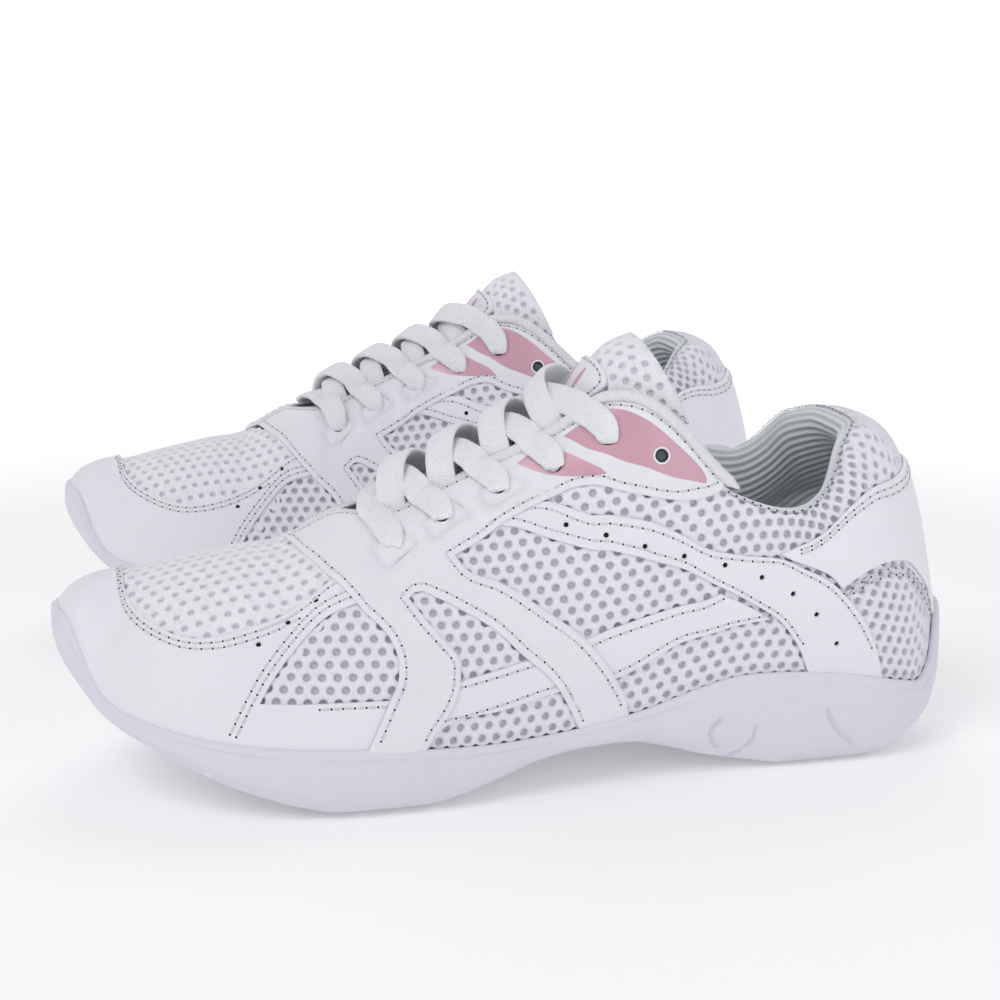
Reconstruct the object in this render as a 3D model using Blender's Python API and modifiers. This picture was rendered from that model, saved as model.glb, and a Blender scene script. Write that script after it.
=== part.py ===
"""Pair of cheer shoes, one solid per piece. Toes point to -X, soles stand on z = 0.

Each piece is described once, in the shoe's own frame: `along` is the distance from the heel,
y is negative on the lateral side and positive on the medial side, z is up. Lengths are
millimetres here and metres in the objects.

Every piece of an upper is a sheet wrapped over one last shape. The last is given by the sole's
plan outline, the bite line where the upper leaves the sole, and the top line (collar, throat and
the ridge of the vamp). Pattern positions on it are (s, v): s runs from the middle of the heel (0)
to the tip of the toe (1) along each side, v from the bite line (0) to the top line (1).
A wrap is LATERAL or MEDIAL (t is s), "heel" (t = s medial, -s lateral) or
"toe" (t = s lateral, 2 - s medial).
"""
import math

import bmesh
import bpy
import numpy as np
from mathutils import Vector
from mathutils.geometry import delaunay_2d_cdt

# ---- driving dimensions, mm ----
LENGTH = 268.0          # sole, heel to toe
PAIR_SPACING = 167.0    # between the middles of the two shoes
FEATHER = 3.0           # upper starts this far inside the widest outline
SHELL_T = 1.4           # air-mesh shell
FIRST_LAYER = (0.6, 0.9)    # overlay: gap to the shell's face, thickness
SECOND_LAYER = (2.0, 0.9)   # overlay lying on the first
INSIDE = -1.9           # first face behind the shell
COUNTER_T, PUFF_T, LINING_T = 1.2, 0.9, 0.8
INSOLE_T, BOARD_T = 4.0, 1.4
FLOOR_GAP = 0.5         # under the lasting board, and again under the insole
TREAD_FRONT = 72        # front edge of the heel tread
TREAD_T, TREAD_RECESS = 1.55, 2.1
EYELET_R = 2.4
GRID = 10.5             # facet length on the wrapped sheets

LATERAL, MEDIAL = -1, 1
SIDES = ((LATERAL, "lateral"), (MEDIAL, "medial"))
SEAM_T = {"heel": 0.0, "toe": 1.0}      # t on the middle line of each two-sided wrap

# ---- the last ----
# plan outline of the sole: (along, y)
OUTLINE = {
    LATERAL: [(0,0), (1.2,-9), (5,-18), (13,-26.5), (26,-32.5), (45,-35), (75,-35.5), (105,-37),
              (132,-41), (158,-46.5), (180,-49), (200,-48.5), (220,-45), (238,-37.5), (252,-27),
              (262,-14), (267,-3), (LENGTH,5)],
    MEDIAL: [(0,0), (1.2,9), (5,18), (13,26), (26,31.5), (45,33), (75,31.5), (102,30.5),
             (126,33), (150,39), (172,45), (194,47.5), (215,46.5), (234,41.5), (249,33.5),
             (260,23), (266,12), (LENGTH,5)]}
# (along, z) of the sole's underside: heel bevel, arch, toe spring
UNDERSIDE = [(0,18), (3,13), (8,8), (16,4), (24,1.2), (30,0), (60,0), (68,1.3), (84,4.5),
             (94,7.5), (102,9.5), (119,10), (132,8.5), (146,4.5), (158,1.2), (165,0), (192,0),
             (200,1.5), (215,6), (228,11), (240,16.5), (250,21), (258,26.5), (264,32), (268,36)]
# (along, z) of the sole's rim
RIM = [(0,42), (2,41), (4,35), (6,29), (9,24.5), (13,22), (20,23.5), (35,27.2), (55,29.8),
       (67,30), (77,29), (87,26.3), (101,22), (109,20.3), (123,18.3), (143,17.3), (163,18.3),
       (182,20), (200,21), (217,22.5), (234,25), (245,27.5), (252,30), (256,33), (259,38.5),
       (262,46), (264,50), (268,52)]
# (along, z) of the floor inside the sole
FLOOR = [(0,21), (12,19.5), (40,18.5), (80,18), (110,17), (140,13), (165,9.5), (190,9.5),
         (215,13), (235,20), (250,27), (262,35), (268,40)]
# top line: (unit of the bite position: s or along, bite position, along, half breadth, z)
TOP_LINE = [
    ("s",0.0,33,0,98.5), ("s",0.035,33.5,8,98.5), ("a",8,36,16,98), ("a",16,41,23,94),
    ("a",28,44.5,27,86), ("a",42,50,28.5,79), ("a",56,58,29,76.8), ("a",66,66,29,78.5),
    ("a",76,75,28,83), ("a",84,82,26.5,89.5), ("a",92,91,24.5,100), ("a",102,101,22,108),
    ("a",111,110,18.5,109), ("a",118,117,15,104), ("a",126,126,11.5,97.5),
    ("a",141,141,10,90.5), ("a",158,157,9.5,83), ("a",172,171,9,76.5), ("a",181,180,5.5,75.5),
    ("a",188,186,1,75), ("a",199,196,-1.5,70), ("a",206,202,-2,67.3), ("a",218,212,-2.5,66),
    ("a",232,223,-3.5,64), ("a",246,233,-4,62), ("a",257,240,-4.5,60.5),
    ("s",.965,244.5,-4.9,59.3), ("s",1.0,246,-5,59)]
# z by TOP_LINE row where the inner ankle side stands higher
MEDIAL_COLLAR = {3: 95.5, 4: 91.5, 5: 86, 6: 83, 7: 84.5, 8: 88, 9: 92.5, 10: 101}
RIDGE = 20              # from this row forward both sides meet on the vamp's ridge
# swell of each side section, by TOP_LINE row: (out, up) at the bite, (out, down) at the top
SWELL = [
    (-5,22,18,-7), (-5,22,18,-7), (0,28,15,-5), (1,26,12,-4), (1.5,24,9,-2), (1.5,18,6,4),
    (1.5,14,4.5,8), (1.5,14,4.5,9), (1.5,15,5,10), (1,16,6,12), (1,19,7,14), (1,22,8.5,15),
    (1,23,10,14), (1,22,11.5,12), (1,21,13,9.5), (1,20,14,8.5), (1,19,15,7), (1.2,18,16.5,5),
    (1.3,17,19,3), (1.4,16,23,1.5), (1.5,16,24,1), (1.5,16,24,0.5), (1.8,16,24,0.5),
    (2,16,22,0.5), (2,15,18,0.5), (1,11,12,0.3), (-1.5,7,8,0.3), (-1.5,7,8,0.3)]


def unit(vectors):
    return vectors/np.linalg.norm(vectors, axis=-1, keepdims=True)


def hermite(knots, values, x):
    """Smooth curve through values at the knots; damped where the slope changes sign."""
    knots = np.asarray(knots, float)
    values = np.asarray(values, float)
    x = np.clip(np.asarray(x, float), knots[0], knots[-1])
    flat = values.ndim == 1
    if flat:
        values = values[:, None]
    gap = np.diff(knots)
    rise = np.diff(values, axis=0)/gap[:, None]
    slope = np.zeros_like(values)
    slope[1:-1] = (rise[:-1]*gap[1:, None] + rise[1:]*gap[:-1, None])/(gap[1:]+gap[:-1])[:, None]
    slope[0], slope[-1] = rise[0], rise[-1]
    slope[1:-1] = np.where(rise[:-1]*rise[1:] <= 0, slope[1:-1]*0.35, slope[1:-1])
    i = np.clip(np.searchsorted(knots, x, side="right")-1, 0, len(knots)-2)
    t = ((x-knots[i])/gap[i])[..., None]
    width = gap[i][..., None]
    curve = ((2*t**3-3*t**2+1)*values[i] + (t**3-2*t**2+t)*width*slope[i]
             + (-2*t**3+3*t**2)*values[i+1] + (t**3-t**2)*width*slope[i+1])
    return curve[..., 0] if flat else curve


def chord(points):
    """Length along a polyline at each of its points."""
    return np.concatenate([[0], np.cumsum(np.linalg.norm(np.diff(points, axis=0), axis=1))])


def smooth(points, count):
    points = np.asarray(points, float)
    length = chord(points)
    return hermite(length, points, np.linspace(0, length[-1], count))


def underside_z(along):
    return np.maximum(hermite(*zip(*UNDERSIDE), along), 0.0)     # flat where it stands


def rim_z(along):
    return hermite(*zip(*RIM), along)


def floor_z(along):
    return hermite(*zip(*FLOOR), along)


class Side:
    """One side of the last: outline, outward normals, top line and swell as tables over s."""

    def __init__(self, side):
        self.outline = smooth(OUTLINE[side], 800)
        length = chord(self.outline)
        self.s = length/length[-1]
        tangent = unit(np.gradient(self.outline, self.s, axis=0))
        normals = np.stack([tangent[:, 1], -tangent[:, 0]], -1)*(-side)
        # square to the middle line at heel and toe
        for weight, end in ((np.clip(1-self.s/.03, 0, 1), (-1, 0)),
                            (np.clip(1-(1-self.s)/.03, 0, 1), (1, 0))):
            normals = normals*(1-weight)[:, None] + np.array(end)*weight[:, None]
        self.normals = unit(normals)
        knots, top = [], []
        for i, (kind, bite, along, y, z) in enumerate(TOP_LINE):
            knots.append(bite if kind == "s" else np.interp(bite, self.outline[:, 0], self.s))
            if side == LATERAL or i >= RIDGE:
                y = -y
            if side == MEDIAL:
                z = MEDIAL_COLLAR.get(i, z)
            top.append((along, y, z))
        self.fine_s = np.linspace(0, 1, 1201)
        self.top = hermite(knots, top, self.fine_s)
        self.swell = hermite(knots, SWELL, self.fine_s)

    def row(self, table, s):
        return np.stack([np.interp(s, self.fine_s, column) for column in table.T], -1)

    def out(self, s):
        return np.stack([np.interp(s, self.s, column) for column in self.outline.T], -1)

    def normal(self, s):
        return unit(np.stack([np.interp(s, self.s, column) for column in self.normals.T], -1))


LAST = {side: Side(side) for side, _ in SIDES}


def upper(side, s, v):
    """Point of the last: each section is a cubic from the bite line to the top line."""
    s, v = np.broadcast_arrays(np.asarray(s, float), np.asarray(v, float))
    shape = LAST[side]
    top = shape.row(shape.top, s)
    swell = shape.row(shape.swell, s)
    normal = shape.normal(s)
    outline = shape.out(s)
    bite_z = (rim_z(outline[..., 0])-2.0)[..., None]
    bite = np.concatenate([outline - normal*FEATHER, bite_z], -1)
    up = np.array([0.0, 0.0, 1.0])
    zero = np.zeros_like(bite_z)
    normal = np.concatenate([normal, zero], -1)
    low_pull = bite + normal*swell[..., 0:1] + up*swell[..., 1:2]
    # at the top the section leans from the outline's normal (heel) to the bite line (forefoot)
    lean = bite[..., :2]-top[..., :2]
    lean /= np.maximum(np.linalg.norm(lean, axis=-1, keepdims=True), 1e-6)
    lean = np.concatenate([lean, zero], -1)
    heel = np.clip(1-(s-0.30)/0.15, 0, 1)[..., None]
    lean = unit(lean*(1-heel) + normal*heel)
    high_pull = top + lean*swell[..., 2:3] - up*swell[..., 3:4]
    t = v[..., None]
    return (1-t)**3*bite + 3*(1-t)**2*t*low_pull + 3*(1-t)*t*t*high_pull + t**3*top


def upper_normal(side, s, v):
    step = 2e-3
    s, v = np.broadcast_arrays(np.asarray(s, float), np.asarray(v, float))
    # the sections run together where the ridge ends
    v = np.minimum(v, 1-.24*np.clip((s-.90)/.05, 0, 1))
    forward = upper(side, np.clip(s+step, 0, 1), v) - upper(side, np.clip(s-step, 0, 1), v)
    upward = upper(side, s, np.clip(v+2*step, 0, 1)) - upper(side, s, np.clip(v-2*step, 0, 1))
    normal = np.cross(forward, upward)*(-side)
    return normal/np.maximum(np.linalg.norm(normal, axis=-1, keepdims=True), 1e-9)


def fold(wrap, t):
    """s of a position on a two-sided wrap, and whether it is on the lateral side."""
    if wrap == "heel":
        return np.abs(t), t <= 0
    return np.where(t <= 1, t, 2-t), t <= 1


def last(wrap, t, v, offset=0.0):
    """Points of a wrap, moved outwards by offset."""
    t, v = np.broadcast_arrays(np.asarray(t, float), np.asarray(v, float))
    offset = np.broadcast_to(np.asarray(offset, float), t.shape)[..., None]
    if wrap in (LATERAL, MEDIAL):
        return upper(wrap, t, v) + upper_normal(wrap, t, v)*offset
    s, lateral = fold(wrap, t)
    lateral = lateral[..., None]
    seam = (np.abs(t-SEAM_T[wrap]) < 1e-6)[..., None]
    points = np.where(lateral, upper(LATERAL, s, v), upper(MEDIAL, s, v))
    outer, inner = upper_normal(LATERAL, s, v), upper_normal(MEDIAL, s, v)
    normal = np.where(seam, outer+inner, np.where(lateral, outer, inner))
    return points + unit(normal)*offset


RIM_SEARCH = np.linspace(0, 0.45, 91)   # v searched for the rim


def rim_v(side, s, lift=0.5):
    """v at which the upper clears the sole's rim by lift."""
    s = np.atleast_1d(np.asarray(s, float))
    rim = rim_z(LAST[side].out(s)[:, 0])[:, None]
    height = upper(side, s[:, None], RIM_SEARCH[None])[..., 2] - rim
    k = np.maximum(np.argmax(height >= lift, axis=1), 1)
    row = np.arange(len(s))
    below, above_rim = height[row, k-1], height[row, k]
    step = RIM_SEARCH[1]-RIM_SEARCH[0]
    return RIM_SEARCH[k-1] + (lift-below)/(above_rim-below)*step


def rim_point(side, s, lift=0.5):
    return s, float(rim_v(side, s, lift)[0])


def along_rim(side, start, end, count):
    s = np.linspace(start, end, count)
    return list(zip(s, rim_v(side, s)))


def lifted(side, s, rows):
    """Rows of v squeezed so that v = 0 comes just clear of the rim."""
    s = np.asarray(s, float)
    clear = rim_v(side, s.ravel(), .6).reshape(s.shape)
    return np.asarray(rows)*(1-clear)+clear


# ---- materials ----
def material(name, color, roughness):
    made = bpy.data.materials.new(name)
    made.use_nodes = True
    shader = made.node_tree.nodes["Principled BSDF"]
    shader.inputs["Base Color"].default_value = (*color, 1)
    shader.inputs["Roughness"].default_value = roughness
    return made


for old in list(bpy.data.objects):
    bpy.data.objects.remove(old, do_unlink=True)
PAIR = bpy.data.collections.new("cheer_shoes")
bpy.context.scene.collection.children.link(PAIR)

WHITE = material("white_synthetic_leather", color=(0.86, 0.85, 0.88), roughness=0.5)
MESH = material("white_air_mesh", color=(0.80, 0.80, 0.85), roughness=0.85)
SOLE = material("moulded_eva_white", color=(0.86, 0.85, 0.89), roughness=0.6)
RUBBER = material("outsole_rubber_white", color=(0.80, 0.80, 0.84), roughness=0.7)
PINK = material("pink_tpu", color=(0.62, 0.37, 0.44), roughness=0.35)
KNIT = material("ribbed_lining_knit", color=(0.70, 0.74, 0.80), roughness=0.9)
FOAM = material("collar_foam", color=(0.86, 0.86, 0.80), roughness=0.95)
LACE = material("white_flat_lace", color=(0.88, 0.88, 0.90), roughness=0.8)
BOARD = material("lasting_board", color=(0.75, 0.72, 0.64), roughness=0.9)
STIFF = material("thermoplastic_stiffener", color=(0.70, 0.70, 0.70), roughness=0.6)

# ---- objects ----
TONGUE_HINGE = (192, 64.5)      # (along, z) of the hinge lines
INSOLE_HINGE = (257, 34)
JOINTS = {"tongue": TONGUE_HINGE, "tongue_label": TONGUE_HINGE, "insole": INSOLE_HINGE}
FRAMES = {}


def world(points, right):
    points = np.asarray(points, float)
    if right:
        y = PAIR_SPACING/2 - points[:, 1]
    else:
        y = -PAIR_SPACING/2 + points[:, 1]
    return np.stack([LENGTH/2-points[:, 0], y, points[:, 2]], -1)/1000


def frame_of(right, piece):
    """Parent empty: each shoe has one on the floor under its middle, one on each hinge line."""
    along, z = JOINTS.get(piece, (LENGTH/2, 0))
    key = (right, along)
    if key not in FRAMES:
        name = "hinge_%d" % along if piece in JOINTS else "shoe_frame"
        frame = bpy.data.objects.new(("right_" if right else "left_")+name, None)
        frame.location = world([(along, 0, z)], right)[0]
        frame.empty_display_size = 0.02
        PAIR.objects.link(frame)
        FRAMES[key] = frame
    return FRAMES[key]


def make_mesh(name, points, faces, is_sheet):
    bm = bmesh.new()
    verts = [bm.verts.new(point) for point in points]
    for face in faces:
        try:
            bm.faces.new([verts[i] for i in face])
        except ValueError:
            pass        # guards against a triangulated sheet listing a face twice
    bmesh.ops.remove_doubles(bm, verts=bm.verts, dist=0.00001)
    bmesh.ops.dissolve_degenerate(bm, edges=bm.edges, dist=0.00001)
    loose = [vert for vert in bm.verts if not vert.link_faces]
    if loose:
        bmesh.ops.delete(bm, geom=loose, context="VERTS")
    bmesh.ops.triangulate(bm, faces=bm.faces)
    if not is_sheet:
        bmesh.ops.recalc_face_normals(bm, faces=bm.faces)
        if bm.calc_volume(signed=True) < 0:
            bmesh.ops.reverse_faces(bm, faces=bm.faces)
    mesh = bpy.data.meshes.new(name)
    bm.to_mesh(mesh)
    bm.free()
    mesh.shade_smooth()
    mesh.set_sharp_from_angle(angle=math.radians(40))
    return mesh


def place(piece, shape, mat, thickness=None):
    """Make (points, faces) for both shoes; a sheet is thickened inwards from its outer face."""
    points, faces = shape
    for right in (False, True):
        name = ("right_" if right else "left_") + piece
        frame = frame_of(right, piece)
        local = world(points, right)-np.array(frame.location)
        turned = faces if right else [face[::-1] for face in faces]     # the left is mirrored
        mesh = make_mesh(name, local, turned, thickness is not None)
        mesh.materials.append(mat)
        obj = bpy.data.objects.new(name, mesh)
        PAIR.objects.link(obj)
        obj.parent = frame
        if thickness is not None:
            solidify = obj.modifiers.new("thickness", "SOLIDIFY")
            solidify.thickness = thickness/1000
            solidify.offset = -1
            solidify.use_even_offset = False
            solidify.use_rim = True


# ---- solids from grids ----
def grid_faces(columns, rows, base=0, flip=False):
    faces = []
    for i in range(columns-1):
        for j in range(rows-1):
            here = base+i*rows+j
            quad = [here, here+rows, here+rows+1, here+1]
            faces.append(quad[::-1] if flip else quad)
    return faces


def grid_sheet(grid, flip=False):
    return grid.reshape(-1, 3), grid_faces(*grid.shape[:2], flip=flip)


def shell_solid(face, back):
    """Closed solid between two grids of the same shape."""
    columns, rows = face.shape[:2]
    count = columns*rows
    faces = grid_faces(columns, rows) + grid_faces(columns, rows, count, True)
    ring = ([i*rows for i in range(columns)]
            + [(columns-1)*rows+j for j in range(1, rows)]
            + [i*rows+rows-1 for i in range(columns-2, -1, -1)]
            + list(range(rows-2, 0, -1)))
    for here, after in zip(ring, ring[1:]+ring[:1]):
        faces.append([after, here, here+count, after+count])
    return np.concatenate([face.reshape(-1, 3), back.reshape(-1, 3)]), faces


def tube(points, size):
    """Capped tube through rings of size points each."""
    rings = len(points)//size
    faces = [[i*size+k, i*size+(k+1) % size, (i+1)*size+(k+1) % size, (i+1)*size+k]
             for i in range(rings-1) for k in range(size)]
    caps = [list(range(size))[::-1], [(rings-1)*size+k for k in range(size)]]
    return np.array(points), faces + caps


# ---- flat patterns wrapped as sheets ----
PATTERN = np.array([300.0, 75.0])       # mm of flat pattern per unit of s and of v


def inside(outline, points):
    x, y = points[:, 0], points[:, 1]
    result = np.zeros(len(points), bool)
    for i in range(len(outline)):
        (x0, y0), (x1, y1) = outline[i-1], outline[i]
        crosses = (y0 > y) != (y1 > y)
        run = (y1-y0) if y1 != y0 else 1e-12
        result ^= crosses & (x < (x1-x0)*(y-y0)/run+x0)
    return result


def resample(curves, step):
    """Closed outline from smooth curves joined at sharp corners, in pattern mm."""
    points = []
    for curve in curves:
        curve = np.asarray(curve, float)*PATTERN
        if len(curve) > 2:
            dense = smooth(curve, 200)
        else:
            dense = curve[0]+(curve[1]-curve[0])*np.linspace(0, 1, 50)[:, None]
        length = chord(dense)
        count = max(1, int(round(length[-1]/step)))
        stops = np.linspace(0, length[-1], count+1)
        points.extend(np.stack([np.interp(stops, length, dense[:, j]) for j in (0, 1)], -1)[:-1])
    kept = [points[0]]
    for point in points[1:]:
        if np.linalg.norm(point-kept[-1]) > 0.3:
            kept.append(point)
    if np.linalg.norm(kept[0]-kept[-1]) < 0.3:
        kept.pop()
    return np.array(kept)


def lattice(low, high, step):
    """Staggered rows of points over a rectangle."""
    points = []
    row, y = 0, low[1]
    while y < high[1]:
        x = low[0] + (step/2 if row % 2 else 0)
        while x < high[0]:
            points.append((x, y))
            x += step
        y += step*0.866
        row += 1
    return points


def sheet_mesh(wrap, curves, holes, offset, edge_step, face_step, nodes):
    outer = resample(curves, edge_step)
    inner = [np.asarray(hole)*PATTERN for hole in holes]
    edges, start = [], 0
    for loop in [outer]+inner:
        count = len(loop)
        edges += [(start+i, start+(i+1) % count) for i in range(count)]
        start += count
    border = np.concatenate([outer]+inner)

    def in_sheet(points):
        keep = inside(outer, points)
        for hole in inner:
            keep &= ~inside(hole, points)
        return keep

    low, high = border.min(0), border.max(0)
    fill = lattice(low, high, face_step)
    if wrap in SEAM_T:      # a column of points on the middle line
        seam = SEAM_T[wrap]*PATTERN[0]
        fill = [point for point in fill if abs(point[0]-seam) > face_step*0.55]
        fill += [(seam, y) for y in np.arange(low[1]+face_step/2, high[1], face_step)]
    fill = np.array(fill).reshape(-1, 2)
    clearance = face_step*0.5
    if nodes is not None:   # given points take the lattice's place over their range
        nodes = np.array(nodes)*PATTERN
        x, margin = fill[:, 0], face_step*.6
        free = (x < nodes[:, 0].min()-margin) | (x > nodes[:, 0].max()+margin)
        fill = np.concatenate([fill[free], nodes])
        clearance = 2.2
    fill = fill[in_sheet(fill)]
    distance = np.min(np.linalg.norm(fill[:, None]-border[None], axis=2), axis=1)
    flat = np.concatenate([border, fill[distance > clearance]])
    result = delaunay_2d_cdt([Vector(point) for point in flat], edges, [], 0, 1e-5)
    flat = np.array([tuple(point) for point in result[0]])
    faces = np.array([list(face) for face in result[2]])
    faces = faces[in_sheet(np.array([flat[face].mean(0) for face in faces]))]
    first, second, third = (flat[faces[:, k]] for k in range(3))
    along, across = second-first, third-first
    clockwise = along[:, 0]*across[:, 1]-along[:, 1]*across[:, 0] < 0
    faces[clockwise] = faces[clockwise][:, ::-1]
    if wrap in (MEDIAL, "heel"):    # here the (t, v) plane is seen from inside the shoe
        faces = faces[:, ::-1]
    t, v = (flat/PATTERN).T
    return last(wrap, t, v, offset), faces.tolist()


def sheet(piece, wrap, curves, mat, layer, holes=(), edge_step=GRID, face_step=GRID, nodes=None):
    gap, thickness = layer
    shape = sheet_mesh(wrap, curves, holes, gap+thickness, edge_step, face_step, nodes)
    place(piece, shape, mat, thickness)


def across_toe(curve):
    return [(2-s, v) for s, v in curve]


def across_heel(curve):
    return [(-s, v) for s, v in curve]


def closed(outline):
    return np.concatenate([outline, outline[:1]])


def grow(outline, distance):
    """Move every point of an outline away from its centre."""
    points = np.array(outline)*PATTERN
    return (points + unit(points - points.mean(0))*distance)/PATTERN


def round_hole(side, s, v, radius):
    """Pattern outline of a hole that is round on the last."""
    step, corners = 1e-3, 8
    per_s = (upper(side, s+step, v)-upper(side, s-step, v))/(2*step)
    per_v = (upper(side, s, v+step)-upper(side, s, v-step))/(2*step)
    to_pattern = np.linalg.pinv(np.stack([per_s, per_v], -1))
    first = unit(per_s)
    second = np.cross(upper_normal(side, s, v), first)
    angles = [2*math.pi*k/corners for k in range(corners)]
    return [np.array([s, v]) + to_pattern@(radius*(math.cos(a)*first + math.sin(a)*second))
            for a in angles]


# ---- sole, tread, board, insole: sections run from the outline to a spine under the foot ----
SPINE_START, SPINE_END, SPINE_SHIFT = 30, 238, 3.0


def stations(count, extra=()):
    x = np.linspace(0, 1, count)
    s = 0.45*x + 0.55*0.5*(1-np.cos(math.pi*x))
    return np.unique(np.round(np.concatenate([s, extra]), 6))


def spine(s):
    share = (LAST[LATERAL].out(s)[..., 0]+LAST[MEDIAL].out(s)[..., 0])/2/LENGTH
    y = np.clip((share-0.35)/0.65, 0, 1)*SPINE_SHIFT
    return np.stack([SPINE_START+(SPINE_END-SPINE_START)*share, y], -1)


def inset_plan(side, s, inset):
    """Outline moved towards the spine by inset; None gives the spine itself."""
    if inset is None:
        return spine(s)
    outline = LAST[side].out(s)
    inward = spine(s)-outline
    return outline + inward*np.minimum(inset/np.linalg.norm(inward, axis=-1), 0.97)[..., None]


def ladder(profile_of, s):
    """profile_of(side) lists (inset, height); height is an array or a function of along.

    The first and last rows lie on the spine and are shared by both sides.
    """
    points, faces = [], []
    for side, _ in SIDES:
        profile = profile_of(side)
        faces += grid_faces(len(profile), len(s), len(points), side == MEDIAL)
        for inset, height in profile:
            plan = inset_plan(side, s, inset)
            z = height(plan[:, 0]) if callable(height) else height
            points.extend(np.concatenate([plan, z[:, None]], 1))
    return points, faces


def above(surface, rise):
    return lambda along: surface(along)+rise


TREAD_S = float(np.interp(TREAD_FRONT, LAST[LATERAL].outline[:, 0], LAST[LATERAL].s))
STEP_S = 0.0020         # length in s of the step in front of the tread
SOLE_S = stations(20, [TREAD_S, TREAD_S+STEP_S, TREAD_S+2*STEP_S])
TREAD_STATIONS = SOLE_S[SOLE_S <= TREAD_S+1e-9]
PAD_S = stations(14)


def sole_profile(side):
    along = LAST[side].out(SOLE_S)[:, 0]
    rim, under = rim_z(along), underside_z(along)
    recess = np.where(SOLE_S <= TREAD_S+STEP_S+1e-9, TREAD_RECESS, 0.0)
    return [
        (None, floor_z), (18, floor_z), (6.0, lambda a: np.minimum(floor_z(a), rim-3.4)),
        (2.6, rim-3.0), (2.4, rim-0.4), (1.1, rim),
        (0.0, under+(rim-under)*0.5),
        (1.5, lambda a: underside_z(a)+np.maximum(rim-underside_z(a), 4)*0.25),
        (5, above(underside_z, 2.4)), (10, above(underside_z, 0.7)),
        (10.4, above(underside_z, 0.68+recess)),
        (17, above(underside_z, recess)), (None, above(underside_z, recess))]


def sole_unit():
    place("sole_unit", ladder(sole_profile, SOLE_S), SOLE)


def front_cap(rows, count):
    """Faces closing a ladder's sections at its last station."""
    faces = []
    for low in range(rows//2-1):
        high = rows-1-low
        for side in (0, 1):
            quad = [(side*rows+row)*count + count-1 for row in (low, low+1, high-1, high)]
            faces.append(quad[::-1] if side else quad)
    return faces


def heel_tread():
    low, edge, high = (above(underside_z, rise) for rise in (0, 0.62, TREAD_T))
    profile = [(None, low), (17, low), (11, edge), (11, high), (17, high), (None, high)]
    points, faces = ladder(lambda side: profile, TREAD_STATIONS)
    faces += front_cap(len(profile), len(TREAD_STATIONS))
    place("heel_tread", (points, faces), RUBBER)


def floor_pad(gap, thickness, edge, widest, widest_at):
    """Pad over the sole's floor: insets of its edges and of its widest level."""
    low, middle, high = (above(floor_z, gap+thickness*share) for share in (0, widest_at, 1))
    profile = [(None, low), (20, low), (edge, low), (widest, middle),
               (edge, high), (20, high), (None, high)]
    return ladder(lambda side: profile, PAD_S)


def lasting_board():
    shape = floor_pad(FLOOR_GAP, BOARD_T, edge=8.4, widest=8.0, widest_at=0.5)
    place("lasting_board", shape, BOARD)


def insole():
    heel = 3.0*np.clip(1-PAD_S/0.10, 0, 1)      # drawn in further at the heel
    shape = floor_pad(FLOOR_GAP+BOARD_T+FLOOR_GAP, INSOLE_T, edge=9.6+heel, widest=8.8+heel,
                      widest_at=0.55)
    place("insole", shape, KNIT)


# ---- air-mesh shells ----
# (v, s) of the seam from vamp to quarter, under the toe cap's legs
SEAM = [(0,.775), (.25,.755), (.5,.70), (.65,.672), (.8,.672), (1,.69)]
SEAM_GAP = 0.002        # in s, on each side of the seam
QUARTER_V = 0.70        # top of the quarter in front of the collar
ROWS = np.array([0, .09, .30, .50, .64, .78, .90, 1.0])
VAMP_ROWS = np.concatenate([ROWS*QUARTER_V, [.85, 1.0]])
TOE_COLUMNS = [.80, .85, .89, .92, .945, .965, .983, 1.0]
HEEL_COLUMNS = np.array([0, .02, .045, .075, .11, .15, .19, .23, .265, .30])
SIDE_COLUMNS = np.array([.335, .37, .41, .45, .49, .53, .57, .62])


def seam_s(v):
    return hermite(*zip(*SEAM), v)


def quarter_top(s):
    return np.interp(s, [0, .295, .345, .40, 1], [1, 1, .80, QUARTER_V, QUARTER_V])


def vamp_mesh():
    seam = seam_s(VAMP_ROWS)
    columns = [seam+SEAM_GAP, seam*.5+TOE_COLUMNS[0]*.5] + TOE_COLUMNS
    outer, inner = (np.array([upper(side, s, lifted(side, s, VAMP_ROWS)) for s in columns])
                    for side, _ in SIDES)
    ridge = (outer[:, -1]+inner[:, -1])/2
    outer[:, -1] = inner[:, -1] = ridge
    tip = (outer[-1]+inner[-1])/2
    outer[-1] = inner[-1] = tip
    grid = np.concatenate([outer, inner[:, ::-1][:, 1:]], 1)
    place("vamp_mesh", grid_sheet(grid), MESH, SHELL_T)


def quarter_mesh(side, label):
    columns = [*np.maximum(HEEL_COLUMNS, .003), *SIDE_COLUMNS, seam_s(ROWS*QUARTER_V)-SEAM_GAP]
    grid = np.array([upper(side, s, lifted(side, s, ROWS*quarter_top(s))) for s in columns])
    place("quarter_mesh_"+label, grid_sheet(grid, flip=side == MEDIAL), MESH, SHELL_T)


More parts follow.
